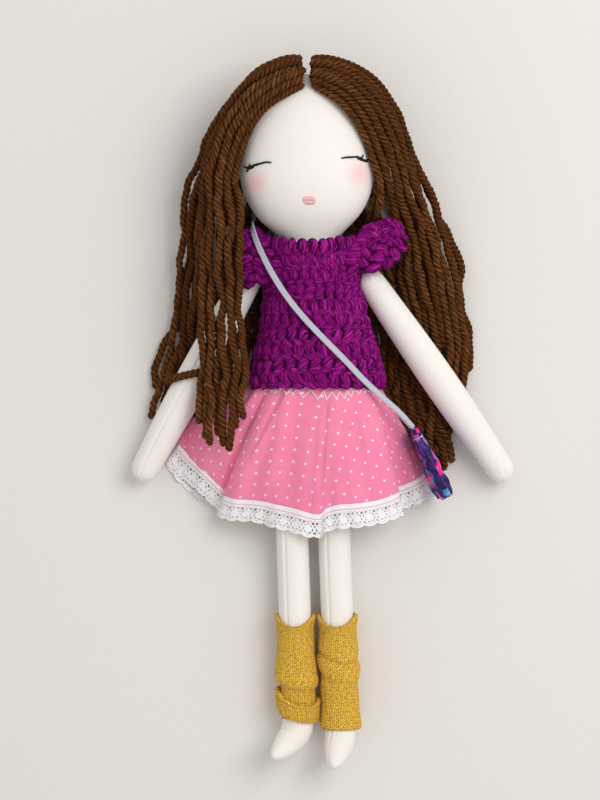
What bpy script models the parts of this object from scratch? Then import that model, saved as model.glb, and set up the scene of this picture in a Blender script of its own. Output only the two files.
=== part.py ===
"""A sewn rag doll with yarn hair and clothes, lying on its back with its face up.

Metres. +Z is up off the surface it lies on, +Y runs from the feet to the head, and +X is the doll's left.
The origin is on the flat back of the crochet top, under the chest.
"""

import math

import bmesh
import bpy
from mathutils import Matrix, Vector

MM = 0.001
RIGHT, LEFT = -1, 1

# Clearances between pieces that touch
GAP = 0.3 * MM
FLOOR_CLEARANCE = 0.8 * MM
OVERRUN = 20 * MM

# Body
TORSO_HALF_WIDTH = 33 * MM
TORSO_HALF_DEPTH = 21.7 * MM
TORSO_AXIS_Z = 27 * MM
TORSO_LEAN = 2.5 * MM
NECK_X = -2 * MM
NECK_Y = 62 * MM
NECK_Z = 32 * MM
NECK_HALF_WIDTH = 17.5 * MM
NECK_RADIUS = 15 * MM
NECK_SEAT_DEPTH = 9 * MM
# down the torso: share of its length, of its half width, of its half depth, of its lean, of its rise to the neck
TORSO_SHARES = (
    (0.00, 0.56, 0.66, -0.7, 0.9),
    (0.03, 0.72, 0.86, -0.6, 0.6),
    (0.07, 0.75, 0.92, -0.5, 0.3),
    (0.20, 0.76, 1.00, -0.2, 0.0),
    (0.36, 0.84, 1.00, 0.2, 0.0),
    (0.52, 0.93, 0.99, 0.7, 0.0),
    (0.74, 0.99, 0.92, 1.0, 0.0),
    (0.88, 1.00, 0.80, 0.4, -0.1),
    (0.97, 0.94, 0.64, -0.2, -0.5),
    (1.00, 0.80, 0.44, -0.4, -0.9),
)

# Head: a lightbulb, widest at the cheeks, with its upper part a half ellipsoid
HEAD_HALF_WIDTH = 43 * MM
HEAD_HALF_DEPTH = 29 * MM
CHEEK_HEIGHT = 40 * MM
CROWN_HEIGHT = 65 * MM
HEAD_TURN_DEG = 3.0
HEAD_PITCH_DEG = 5.0
# up from the neck's pivot to the cheeks: share of the height, of the half width, of the half depth
JAW_SHARES = (
    (0.00, 0.407, 0.517),
    (0.06, 0.43, 0.524),
    (0.22, 0.59, 0.60),
    (0.34, 0.72, 0.70),
    (0.50, 0.83, 0.82),
    (0.74, 0.94, 0.94),
    (1.00, 1.00, 1.00),
)

# Embroidered face, in shares of the head's half width and of the height from the neck's pivot to the crown
THREAD_RADIUS = 0.6 * MM
MOUTH_HALF_WIDTH = 3.6 * MM
MOUTH_HALF_HEIGHT = 2.6 * MM
MOUTH_RISE = 1.2 * MM
MOUTH_Y_SHARE = 0.245
# the right eye from its inner end to the tip of its longest lash
EYE_SHARES = ((0.50, 0.466), (0.62, 0.452), (0.74, 0.449), (0.85, 0.430), (0.93, 0.405))

# Hair
HAIR_FRONT_THICKNESS = 6.4 * MM
HAIR_BACK_THICKNESS = 4.2 * MM
HAIR_SPREAD = 100 * MM
HAIR_DROP = 150 * MM
HAIR_RISE = 55 * MM
HAIR_BULGE = 3.5 * MM
HAIR_FRONT_STRANDS = 8
HAIR_BACK_STRANDS = 9
HAIR_STATIONS = 14
HAIR_START_CLEARANCE = 0.6 * MM
HAIR_HEAD_CLEARANCE = 0.9 * MM
HAIR_STAGGER = 9 * MM
STRAND_GROOVE_SHARE = 0.34
SEAM_HALF_WIDTH = 1.3 * MM
SEAM_THICKNESS = 1.6 * MM
SEAM_START_DEG = 60
SEAM_END_DEG = 156
SEAM_STATIONS = 14

# Arms
ARM_LENGTH = 154 * MM
ARM_SHOULDER_RADIUS = 9 * MM
ARM_RADIUS = 11.2 * MM
ARM_TIP_Z = 12 * MM
TAB_THICKNESS = 2 * MM
TAB_RADIUS = 5 * MM
SHOULDER_Y_RIGHT = 45.5 * MM
SHOULDER_Y_LEFT = 36.5 * MM
SHOULDER_Y = {RIGHT: SHOULDER_Y_RIGHT, LEFT: SHOULDER_Y_LEFT}
ARM_SPLAY_DEG = {RIGHT: 28.8, LEFT: 35.0}
# along the arm from the shoulder to the start of the rounded hand: share of its length, of its full radius
ARM_SHARES = ((0.0, 0.804), (0.12, 0.86), (0.32, 0.96), (0.5, 1.0), (0.7, 0.96), (0.86, 0.86), (0.94, 0.80))

# Legs and feet
LEG_LENGTH = 168 * MM
LEG_RADIUS = 10.5 * MM
LEG_SPACING = 26.8 * MM
HIP_X = -2.3 * MM
HIP_Y = -69.3 * MM
HIP_Z = 18 * MM
LEG_DRIFT_DEG = 2.0
LEG_ROLL_DEG = {RIGHT: 32, LEFT: 14}
# the right foot points up more steeply than the left
FOOT_AHEAD_RIGHT = 23.5 * MM
FOOT_AHEAD_LEFT = 30 * MM
FOOT_AHEAD = {RIGHT: FOOT_AHEAD_RIGHT, LEFT: FOOT_AHEAD_LEFT}
FOOT_RISE_RIGHT = 33 * MM
FOOT_RISE_LEFT = 27 * MM
FOOT_RISE = {RIGHT: FOOT_RISE_RIGHT, LEFT: FOOT_RISE_LEFT}
# past the ankle: share of the foot's reach ahead, of its rise, of the leg's radius across, of it up, and the slant
FOOT_SHARES = (
    (0.00, 0.00, 0.94, 0.94, 0),
    (0.32, 0.02, 0.97, 1.00, 13),
    (0.56, 0.16, 0.95, 1.02, 34),
    (0.70, 0.40, 0.84, 0.88, 54),
    (0.84, 0.64, 0.66, 0.66, 62),
    (0.95, 0.86, 0.42, 0.42, 66),
)

# Leg warmers
WARMER_WALL = 2.3 * MM
WARMER_LENGTH = 67 * MM
WARMER_OVERHANG = 4 * MM
WARMER_SLOUCH = 0.7 * MM
WARMER_FOLDS = 3
WARMER_STATIONS = 10

# Crochet top
TOP_LENGTH = 93 * MM
TOP_WALL = 5.6 * MM
COLLAR_RISE = 1 * MM
COLLAR_SIDE_RISE = 3 * MM
COLLAR_CLEARANCE_WIDTH = 9 * MM
COLLAR_CLEARANCE_DEPTH = 7.8 * MM
HEM_EASE = 0.8 * MM
TOP_CLEARANCE = 0.8 * MM
ARMHOLE_CLEARANCE = 1.6 * MM

# Cap sleeves: the sheet arches over the top of the arm and is open below
CAP_WALL = 5 * MM
CAP_DROP = 13 * MM
CAP_HALF_HEIGHT = 21 * MM
CAP_HALF_DEPTH = 22.5 * MM
CAP_REACH = 27 * MM
CAP_AXIS_Z = 29 * MM
CAP_LIFT_RIGHT = -3 * MM
CAP_LIFT_LEFT = 6 * MM
CAP_LIFT = {RIGHT: CAP_LIFT_RIGHT, LEFT: CAP_LIFT_LEFT}
CAP_DROOP = 4 * MM
CAP_CLEARANCE = 1.0 * MM
# round the cap, from under its front edge over the top to its back: the angle, share of its reach
CAP_REACH_SHARES = ((-52, 0.28), (-25, 0.72), (5, 1.0), (45, 0.94), (90, 0.60), (135, 0.90), (175, 0.90), (205, 0.60))
CAP_COLUMNS = 5
CAP_ROWS = 15

# Skirt
ELASTIC_WALL = 1.2 * MM
ELASTIC_WIDTH = 12 * MM
SKIRT_WALL = 1.0 * MM
SKIRT_SIDE_EASE = 0.4 * MM
SKIRT_TUCK = 6 * MM
SKIRT_LENGTH = 88 * MM
LACE_WIDTH = 14 * MM
LACE_GAP = 0.75 * MM
SKIRT_HALF_SPREAD = 84.5 * MM
SKIRT_HEM_HEIGHT = 36 * MM
SKIRT_COLUMNS = 68
# round the skirt, over the front from the right edge and back underneath: the degrees round the waist that the
# column hangs from, then its middle and its hem, each in shares of the spread, the length and the hem's height
SKIRT_COLUMN_SHARES = (
    (161, -0.837, 0.222, 0.278, -1.030, 0.499, 0.120),
    (153, -0.764, 0.301, 0.556, -0.937, 0.600, 0.181),
    (149, -0.686, 0.372, 0.778, -0.821, 0.700, 0.333),
    (144, -0.603, 0.436, 0.861, -0.722, 0.793, 0.375),
    (139, -0.516, 0.464, 0.861, -0.668, 0.855, 0.333),
    (135, -0.494, 0.485, 1.000, -0.634, 0.866, 0.528),
    (129, -0.460, 0.498, 1.111, -0.605, 0.889, 0.694),
    (121, -0.356, 0.505, 1.111, -0.500, 0.896, 0.722),
    (113, -0.274, 0.512, 1.194, -0.388, 0.906, 0.750),
    (106, -0.193, 0.519, 1.139, -0.276, 0.930, 0.861),
    (95, -0.089, 0.533, 1.194, -0.149, 0.956, 0.972),
    (85, -0.001, 0.547, 1.222, -0.045, 0.984, 1.000),
    (79, 0.050, 0.553, 1.167, 0.014, 0.988, 0.944),
    (75, 0.080, 0.547, 1.180, 0.044, 0.975, 0.958),
    (71, 0.112, 0.540, 1.292, 0.080, 0.950, 1.097),
    (66, 0.154, 0.532, 1.333, 0.155, 0.924, 1.167),
    (58, 0.265, 0.518, 1.278, 0.303, 0.918, 1.111),
    (48, 0.376, 0.497, 1.250, 0.460, 0.899, 1.000),
    (38, 0.478, 0.476, 1.167, 0.580, 0.870, 0.889),
    (30, 0.540, 0.452, 1.028, 0.632, 0.842, 0.750),
    (24, 0.563, 0.440, 0.861, 0.652, 0.820, 0.556),
    (17, 0.585, 0.433, 0.750, 0.686, 0.800, 0.430),
    (10, 0.625, 0.425, 0.667, 0.730, 0.780, 0.361),
    (4, 0.650, 0.416, 0.540, 0.780, 0.751, 0.290),
    (-2, 0.666, 0.400, 0.380, 0.840, 0.700, 0.165),
    (-9, 0.662, 0.370, 0.200, 0.862, 0.645, 0.110),
    (-22, 0.620, 0.393, 0.083, 0.815, 0.700, 0.033),
    (-45, 0.503, 0.463, 0.072, 0.685, 0.813, 0.033),
    (-65, 0.290, 0.499, 0.083, 0.457, 0.893, 0.056),
    (-78, 0.169, 0.521, 0.083, 0.245, 0.937, 0.033),
    (-90, 0.002, 0.528, 0.083, 0.017, 0.958, 0.061),
    (-101, -0.165, 0.521, 0.083, -0.210, 0.937, 0.033),
    (-116, -0.362, 0.492, 0.078, -0.453, 0.893, 0.056),
    (-135, -0.559, 0.426, 0.072, -0.696, 0.806, 0.033),
    (-157, -0.741, 0.310, 0.083, -0.924, 0.645, 0.033),
    (-179, -0.800, 0.262, 0.130, -0.990, 0.570, 0.045),
)

# Bag and strap
BAG_LENGTH = 50 * MM
BAG_WIDTH = 36 * MM
BAG_THICKNESS = 8 * MM
BAG_LOW_Z = 6 * MM
BAG_HANG = (63 * MM, -56 * MM)
BAG_SPLAY_DEG = 29.5
STRAP_WIDTH = 3.7 * MM
STRAP_THICKNESS = 1.2 * MM
STRAP_STATIONS = 64
# the strap's real route, down the front, from the bag over the right shoulder and back to the bag behind
STRAP_ROUTE = (
    (62.55, -55.2, 36.0),
    (54.5, -46.5, 41.0),
    (42.0, -35.5, 46.5),
    (31.0, -25.5, 51.0),
    (19.0, -13.0, 55.0),
    (6.6, -0.6, 57.6),
    (-8.0, 15.0, 57.4),
    (-19.5, 30.0, 55.6),
    (-29.0, 46.0, 53.8),
    (-35.5, 60.0, 50.2),
    (-38.5, 69.6, 42.0),
    (-38.5, 72.6, 30.0),
    (-37.5, 69.6, 16.0),
    (-33.0, 60.0, 6.6),
    (-24.0, 44.0, 4.4),
    (-14.0, 30.0, 2.4),
    (-4.0, 19.0, 1.2),
    (8.0, 4.5, 1.2),
    (20.0, -9.0, 1.8),
    (31.0, -22.5, 3.4),
    (42.0, -34.5, 5.6),
    (54.0, -46.0, 8.5),
    (62.55, -55.2, 12.0),
)


def smooth(rows, at):
    """Reads rows of (place, value, value ...) as smooth curves that don't overshoot."""
    if at <= rows[0][0]:
        return rows[0][1:]
    if at >= rows[-1][0]:
        return rows[-1][1:]
    k = max(i for i in range(len(rows) - 1) if rows[i][0] <= at)
    span = rows[k + 1][0] - rows[k][0]
    u = (at - rows[k][0]) / span

    def slope(i, column):
        if i in (0, len(rows) - 1):
            return 0.0
        before = (rows[i][column] - rows[i - 1][column]) / (rows[i][0] - rows[i - 1][0])
        after = (rows[i + 1][column] - rows[i][column]) / (rows[i + 1][0] - rows[i][0])
        return 0.0 if before * after <= 0 else 2 * before * after / (before + after)

    values = []
    for column in range(1, len(rows[0])):
        a, b = rows[k][column], rows[k + 1][column]
        m, n = slope(k, column) * span, slope(k + 1, column) * span
        values.append(
            a * (2 * u**3 - 3 * u**2 + 1) + m * (u**3 - 2 * u**2 + u)
            + b * (3 * u**2 - 2 * u**3) + n * (u**3 - u**2)
        )
    return tuple(values)


def flowing(points, at):
    """The point a share of the way along a smooth curve through points."""
    place = at * (len(points) - 1)
    k = min(int(place), len(points) - 2)
    u = place - k
    a, b = points[k], points[k + 1]
    before = points[k - 1] if k else 2 * a - b
    after = points[k + 2] if k + 2 < len(points) else 2 * b - a
    return 0.5 * (
        2 * a + (b - before) * u + (2 * before - 5 * a + 4 * b - after) * u**2
        + (3 * a - before - 3 * b + after) * u**3
    )


def oval(half_x, half_z, count, pinch=1.0):
    """Places (x, z) round an oval; a pinch over 1 draws its two sides to an edge."""
    places = []
    for k in range(count):
        turn = 2 * math.pi * k / count
        height = math.copysign(abs(math.sin(turn)) ** pinch, math.sin(turn))
        places.append((half_x * math.cos(turn), half_z * height))
    return places


def shares(first, last, count):
    return [first + (last - first) * k / (count - 1) for k in range(count)]


def cloth(name, colour, roughness=0.9):
    material = bpy.data.materials.new(name)
    material.use_nodes = True
    shader = material.node_tree.nodes["Principled BSDF"]
    shader.inputs["Base Color"].default_value = (*colour, 1)
    shader.inputs["Roughness"].default_value = roughness
    material.diffuse_color = (*colour, 1)
    return material


COTTON = (0.93, 0.87, 0.80)
YARN_BROWN = (0.16, 0.065, 0.025)
YARN_PURPLE = (0.20, 0.012, 0.22)
SKIRT_PINK = (0.90, 0.18, 0.36)
MUSTARD = (0.68, 0.36, 0.04)
THREAD_BLACK = (0.02, 0.018, 0.018)
LIP_PINK = (0.85, 0.38, 0.42)
LACE_WHITE = (0.90, 0.88, 0.90)
STRAP_GREY = (0.62, 0.62, 0.72)
BAG_NAVY = (0.05, 0.04, 0.20)


def finish(bm, name, colour, sharp_deg=50):
    """Turns a bmesh into a named object with its own material."""
    bmesh.ops.recalc_face_normals(bm, faces=bm.faces)
    mesh = bpy.data.meshes.new(name)
    bm.to_mesh(mesh)
    bm.free()
    mesh.shade_smooth()
    mesh.set_sharp_from_angle(angle=math.radians(sharp_deg))
    obj = bpy.data.objects.new(name, mesh)
    bpy.context.scene.collection.objects.link(obj)
    mesh.materials.append(cloth(name, colour))
    return obj


def skin(bm, rows, closed):
    """Quads between rows of vertices; closed rows are rings."""
    for a, b in zip(rows, rows[1:]):
        last = len(a) if closed else len(a) - 1
        for k in range(last):
            j = (k + 1) % len(a)
            bm.faces.new((a[k], a[j], b[j], b[k]))


def loft(name, rings, colour, start=None, end=None):
    """A closed form through rings of points, each end drawn to a point or closed flat."""
    bm = bmesh.new()
    rows = [[bm.verts.new(p) for p in ring] for ring in rings]
    skin(bm, rows, closed=True)
    for row, tip in ((rows[0], start), (rows[-1], end)):
        if tip is None:
            bm.faces.new(row)
            continue
        point = bm.verts.new(tip)
        for k in range(len(row)):
            bm.faces.new((row[k], row[(k + 1) % len(row)], point))
    return finish(bm, name, colour)


def sleeve(name, outer, inner, colour):
    """A tube with a wall, open at both ends, from its outer and its inner rings."""
    bm = bmesh.new()
    out_rows = [[bm.verts.new(p) for p in ring] for ring in outer]
    in_rows = [[bm.verts.new(p) for p in ring] for ring in inner]
    skin(bm, out_rows, closed=True)
    skin(bm, in_rows, closed=True)
    skin(bm, [out_rows[0], in_rows[0]], closed=True)
    skin(bm, [out_rows[-1], in_rows[-1]], closed=True)
    return finish(bm, name, colour)


def sheet(name, upper, lower, colour):
    """A closed slab between two grids of points of the same size."""
    bm = bmesh.new()
    top = [[bm.verts.new(p) for p in row] for row in upper]
    under = [[bm.verts.new(p) for p in row] for row in lower]
    skin(bm, top, closed=False)
    skin(bm, under, closed=False)
    skin(bm, [top[0], under[0]], closed=False)
    skin(bm, [top[-1], under[-1]], closed=False)
    skin(bm, [[row[0] for row in top], [row[0] for row in under]], closed=False)
    skin(bm, [[row[-1] for row in top], [row[-1] for row in under]], closed=False)
    return finish(bm, name, colour)


def cut(obj, cutter):
    """Takes the cutter's form out of the object."""
    cutter.hide_render = True
    cutter.display_type = "WIRE"
    modifier = obj.modifiers.new("cut", "BOOLEAN")
    modifier.operation = "DIFFERENCE"
    modifier.solver = "EXACT"
    modifier.object = cutter


def box(name, low, high):
    bm = bmesh.new()
    bmesh.ops.create_cube(bm, size=1.0)
    size = Vector(high) - Vector(low)
    middle = (Vector(high) + Vector(low)) / 2
    for v in bm.verts:
        v.co = middle + Vector(a * b for a, b in zip(v.co, size))
    return finish(bm, name, COTTON)


# Torso

TORSO_TOP_Y = NECK_Y - NECK_SEAT_DEPTH
TORSO_BOTTOM_Y = HIP_Y + LEG_RADIUS + GAP
TORSO_RISE = NECK_Z - TORSO_AXIS_Z
TORSO_RINGS = 14
TORSO_COLUMNS = 28


def torso_section(y):
    """The torso's centre (x, z) and half sizes at a height y."""
    down = (TORSO_TOP_Y - y) / (TORSO_TOP_Y - TORSO_BOTTOM_Y)
    width, depth, lean, rise = smooth(TORSO_SHARES, down)
    return lean * TORSO_LEAN, TORSO_AXIS_Z + rise * TORSO_RISE, width * TORSO_HALF_WIDTH, depth * TORSO_HALF_DEPTH


def neck_end(name, spare):
    """The rounded lower end of the neck, grown by spare, as a ball that nods in its seat."""
    bm = bmesh.new()
    bmesh.ops.create_uvsphere(bm, u_segments=24, v_segments=14, radius=1.0)
    for v in bm.verts:
        v.co = (v.co.x * (NECK_HALF_WIDTH + spare), v.co.y * (NECK_RADIUS + spare), v.co.z * (NECK_RADIUS + spare))
    obj = finish(bm, name, COTTON)
    obj.location = (NECK_X, NECK_Y, NECK_Z)
    return obj


def make_torso():
    rings = []
    rows = [row[0] for row in TORSO_SHARES] + [0.28, 0.44, 0.63, 0.81]
    for share in sorted(rows):
        y = TORSO_TOP_Y + share * (TORSO_BOTTOM_Y - TORSO_TOP_Y)
        x, z, half_x, half_z = torso_section(y)
        rings.append([Vector((x + a, y, z + b)) for a, b in oval(half_x, half_z, TORSO_COLUMNS)])
    torso = loft("torso", rings, COTTON)
    cut(torso, neck_end("neck_seat", 2 * GAP))
    return torso


# Head and face

HEAD_HEIGHT = CHEEK_HEIGHT + CROWN_HEIGHT
HEAD_COLUMNS = 28
NECK_END_RINGS = 3
CROWN_RINGS = 8
HEAD_TILT = Matrix.Rotation(math.radians(HEAD_TURN_DEG), 3, "Z") @ Matrix.Rotation(math.radians(HEAD_PITCH_DEG), 3, "X")
NECK_PIVOT = Vector((NECK_X, NECK_Y, NECK_Z))


def head_section(up):
    """Half width and half depth of the head at a height above the neck's pivot."""
    if up <= CHEEK_HEIGHT:
        width, depth = smooth(JAW_SHARES, up / CHEEK_HEIGHT)
    else:
        width = depth = math.sqrt(max(0.0, 1 - ((up - CHEEK_HEIGHT) / CROWN_HEIGHT) ** 2))
    return width * HEAD_HALF_WIDTH, depth * HEAD_HALF_DEPTH


def on_head(x_share, y_share, z_share):
    """A place round the head, in shares of the crown ellipsoid's half sizes from its centre."""
    local = Vector((x_share * HEAD_HALF_WIDTH, CHEEK_HEIGHT + y_share * CROWN_HEIGHT, z_share * HEAD_HALF_DEPTH))
    return NECK_PIVOT + HEAD_TILT @ local


def on_face(x, up, spare):
    """A place on the front of the face, raised off the cloth by spare."""
    half_x, half_z = head_section(up)
    depth = half_z * math.sqrt(max(0.0, 1 - (x / half_x) ** 2))
    outward = Vector((x / half_x**2, 0, depth / half_z**2)).normalized()
    return Vector((x, up, depth)) + outward * spare


def set_on_neck(obj):
    obj.matrix_world = Matrix.Translation(NECK_PIVOT) @ HEAD_TILT.to_4x4()


def make_head():
    rings = []
    for k in range(1, NECK_END_RINGS + 1):
        turn = math.pi / 2 * k / (NECK_END_RINGS + 1)
        half_x, half_z = NECK_HALF_WIDTH * math.sin(turn), NECK_RADIUS * math.sin(turn)
        places = oval(half_x, half_z, HEAD_COLUMNS)
        rings.append([Vector((a, -NECK_RADIUS * math.cos(turn), b)) for a, b in places])
    ups = [row[0] * CHEEK_HEIGHT for row in JAW_SHARES]
    ups += [CHEEK_HEIGHT + CROWN_HEIGHT * math.sin(math.pi / 2 * k / CROWN_RINGS) for k in range(1, CROWN_RINGS)]
    for up in ups:
        half_x, half_z = head_section(up)
        rings.append([Vector((a, up, b)) for a, b in oval(half_x, half_z, HEAD_COLUMNS)])
    head = loft("head", rings, COTTON, start=(0, -NECK_RADIUS, 0), end=(0, HEAD_HEIGHT, 0))
    set_on_neck(head)
    return head


EYE_STATIONS = 12
THREAD_SIDES = 6


def make_eye(name, side):
    """The closed lid, one thick thread from the inner corner to the tip of its lash."""
    path = [Vector((side * x * HEAD_HALF_WIDTH, y * HEAD_HEIGHT, 0)) for x, y in EYE_SHARES]
    rings = []
    for share in shares(0, 1, EYE_STATIONS):
        radius = THREAD_RADIUS * (0.55 + 0.45 * math.sin(math.pi * share))
        place = flowing(path, share)
        middle = on_face(place.x, place.y, GAP + radius)
        along = (flowing(path, min(1, share + 0.02)) - flowing(path, max(0, share - 0.02))).normalized()
        out = Vector((middle.x / HEAD_HALF_WIDTH**2, 0, middle.z / HEAD_HALF_DEPTH**2)).normalized()
        across = along.cross(out).normalized()
        rings.append([middle + across * a + out * b for a, b in oval(radius, radius, THREAD_SIDES)])
    set_on_neck(loft(name, rings, THREAD_BLACK))


def make_mouth():
    """Two small lips of satin stitch, pinched at their middle."""
    columns, rows = 9, 5
    upper, lower = [], []
    for v in shares(-1, 1, rows):
        top_row, under_row = [], []
        for u in shares(-1, 1, columns):
            height = MOUTH_HALF_HEIGHT * (0.30 + 0.70 * math.sqrt(1 - 0.9 * u * u)) * (1 - 0.16 * (1 - abs(u)) ** 4)
            x, up = u * MOUTH_HALF_WIDTH, MOUTH_Y_SHARE * HEAD_HEIGHT + v * height
            rise = MOUTH_RISE * (0.35 + 0.65 * (1 - u * u) * (1 - v * v))
            under_row.append(on_face(x, up, 2 * GAP))
            top_row.append(on_face(x, up, 2 * GAP + rise))
        upper.append(top_row)
        lower.append(under_row)
    set_on_neck(sheet("mouth", upper, lower, LIP_PINK))


def make_parting_seam():
    """The stitched strip over the crown that holds the yarn, from the forehead to the back of the head."""
    upper, lower = [], []
    for degrees in shares(SEAM_START_DEG, SEAM_END_DEG, SEAM_STATIONS):
        up, front = math.sin(math.radians(degrees)), math.cos(math.radians(degrees))
        out = HEAD_TILT @ Vector((0, up * HEAD_HALF_DEPTH, front * CROWN_HEIGHT)).normalized()
        middle = on_head(0, up, front)
        across = HEAD_TILT @ Vector((SEAM_HALF_WIDTH, 0, 0))
        base, crest = 2 * GAP, 2 * GAP + SEAM_THICKNESS
        lower.append([middle + across * u + out * base for u in (-1, 0, 1)])
        upper.append([middle + across * u + out * (crest - abs(u) * SEAM_THICKNESS / 3) for u in (-1, 0, 1)])
    sheet("parting_seam", upper, lower, YARN_BROWN)


# Hair. Each bunch is a row of strands side by side, between an inner and an outer edge. Over the head the edges
# are places on_head; below it they are shares of the hair's spread, drop below the neck, and rise off the floor.

HAIR_EDGE_SHARES = {
    ("front", RIGHT): (
        ((0.0, 0.98, 0.50), (-0.44, 0.78, 0.62), (-0.79, 0.46, 0.63), (-0.98, 0.13, 0.52), (-0.97, -0.22, 0.58)),
        ((-0.42, -0.027, 1.0), (-0.40, 0.16, 1.04), (-0.41, 0.35, 0.92), (-0.42, 0.58, 0.84), (-0.46, 0.85, 0.80)),
        ((0.0, 1.14, -0.08), (-0.62, 1.10, 0.05), (-1.16, 0.75, -0.05), (-1.53, 0.28, -0.10), (-1.72, -0.15, -0.15)),
        ((-0.79, -0.027, 0.64), (-0.80, 0.16, 0.68), (-0.77, 0.36, 0.67), (-0.73, 0.58, 0.62), (-0.68, 0.80, 0.60)),
    ),
    ("back", RIGHT): (
        ((0.0, 0.55, -1.0), (-0.23, 0.28, -1.14), (-0.37, 0.03, -1.12), (-0.49, -0.15, -1.09), (-0.58, -0.32, -1.06)),
        ((-0.36, 0.0, 0.0), (-0.48, 0.16, 0.0), (-0.58, 0.36, 0.0), (-0.68, 0.56, 0.0), (-0.73, 0.73, 0.0)),
        ((0.0, 1.04, -0.50), (-0.70, 0.96, -0.60), (-1.26, 0.68, -0.82), (-1.65, 0.25, -1.04), (-1.81, -0.18, -1.09)),
        ((-0.85, 0.0, 0.0), (-0.86, 0.17, 0.0), (-0.90, 0.38, 0.0), (-1.00, 0.58, 0.0), (-1.00, 0.70, 0.0)),
    ),
    ("front", LEFT): (
        ((0.0, 0.98, 0.50), (0.44, 0.78, 0.62), (0.76, 0.57, 0.56), (1.02, 0.15, 0.40), (1.05, -0.18, 0.36)),
        ((0.58, -0.10, 0.36), (0.59, 0.07, 0.17), (0.54, 0.28, 0.01), (0.54, 0.49, 0.01), (0.63, 0.68, 0.01)),
        ((0.0, 1.14, -0.08), (0.68, 1.09, 0.05), (1.17, 0.77, -0.08), (1.49, 0.34, -0.16), (1.66, -0.05, -0.30)),
        ((0.72, -0.09, 0.34), (0.66, 0.07, 0.16), (0.655, 0.30, 0.01), (0.68, 0.51, 0.01), (0.72, 0.72, 0.01)),
    ),
    ("back", LEFT): (
        ((0.0, 0.55, -1.0), (0.23, 0.28, -1.14), (0.42, 0.03, -1.12), (0.60, -0.15, -1.09), (0.79, -0.32, -1.06)),
        ((0.46, -0.05, 0.0), (0.69, 0.10, 0.0), (0.73, 0.31, 0.0), (0.76, 0.51, 0.0), (0.75, 0.86, 0.0)),
        ((0.0, 1.04, -0.50), (0.79, 0.98, -0.60), (1.26, 0.74, -0.82), (1.63, 0.34, -1.04), (1.90, -0.15, -1.09)),
        ((0.87, -0.05, 0.0), (0.92, 0.10, 0.0), (0.98, 0.33, 0.0), (0.95, 0.51, 0.0), (0.83, 0.92, 0.0)),
    ),
}
# how far each strand in turn stops short of the longest
STRAND_END_SHARES = (0.2, 0.9, 0.0, 0.6, 0.3, 1.0, 0.1, 0.7, 0.4)


def hair_edge(head_shares, hanging_shares, side, thickness):
    start = SEAM_HALF_WIDTH + HAIR_START_CLEARANCE
    floor_z = FLOOR_CLEARANCE + thickness / 2
    points = [on_head(*place) for place in head_shares]
    points[0] += HEAD_TILT @ Vector((side * start, 0, 0))
    points += [
        Vector((x * HAIR_SPREAD, NECK_Y - y * HAIR_DROP, floor_z + z * HAIR_RISE)) for x, y, z in hanging_shares
    ]
    return points


def clear_of_head(point, spare):
    """Moves a point outwards until it is spare off the crown ellipsoid."""
    centre = Vector((0, CHEEK_HEIGHT, 0))
    local = HEAD_TILT.inverted() @ (point - NECK_PIVOT) - centre
    sizes = (HEAD_HALF_WIDTH, CROWN_HEIGHT, HEAD_HALF_DEPTH)
    reach = Vector(a / size for a, size in zip(local, sizes)).length
    steepness = Vector(a / reach / size**2 for a, size in zip(local, sizes)).length
    needed = 1 + spare * steepness
    return NECK_PIVOT + HEAD_TILT @ (centre + local * max(1.0, needed / reach))


def make_hair(name, layer, side, strands, thickness, bulge):
    inner_head, inner_hang, outer_head, outer_hang = HAIR_EDGE_SHARES[layer, side]
    inner = hair_edge(inner_head, inner_hang, side, thickness)
    outer = hair_edge(outer_head, outer_hang, side, thickness)
    groove = STRAND_GROOVE_SHARE * thickness
    upper, lower = [], []
    for station in shares(0, 1, HAIR_STATIONS):
        a, b = flowing(inner, station), flowing(outer, station)
        ahead, behind = min(1, station + 0.02), max(0, station - 0.02)
        top_row, under_row = [], []
        for k in range(2 * strands + 1):
            across = k / (2 * strands)
            point = a.lerp(b, across)
            along = flowing(inner, ahead).lerp(flowing(outer, ahead), across)
            along = (along - flowing(inner, behind).lerp(flowing(outer, behind), across)).normalized()
            out = along.cross(b - a).normalized() * side
            point = point + out * bulge * 4 * across * (1 - across)
            point = clear_of_head(point, thickness / 2 + HAIR_HEAD_CLEARANCE)
            point.z = max(point.z, FLOOR_CLEARANCE + thickness / 2)
            if station == 1:
                strand = min(k // 2, strands - 1)
                notch = 0.5 if k % 2 == 0 else 0.0
                short = STRAND_END_SHARES[strand % len(STRAND_END_SHARES)]
                point = point - along * HAIR_STAGGER * (short + notch)
            crest = thickness / 2 if k % 2 else thickness / 2 - groove
            under = point - out * thickness / 2
            under.z = max(under.z, FLOOR_CLEARANCE)
            top_row.append(point + out * crest)
            under_row.append(under)
        upper.append(top_row)
        lower.append(under_row)
    sheet(name, upper, lower, YARN_BROWN)


# Arms

SHOULDER_SHARE_OF_ARM = ARM_SHARES[0][1]
ARM_TILT = math.asin((TORSO_AXIS_Z - ARM_TIP_Z) / ARM_LENGTH)
LIMB_COLUMNS = 16
ARM_RINGS = 12
ROUND_END_RINGS = 3


def shoulder_pivot(side):
    x, _, half_x, _ = torso_section(SHOULDER_Y[side])
    reach = half_x + 2 * GAP + TAB_THICKNESS + GAP + ARM_SHOULDER_RADIUS
    return Vector((x + side * reach, SHOULDER_Y[side], TORSO_AXIS_Z))


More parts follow.
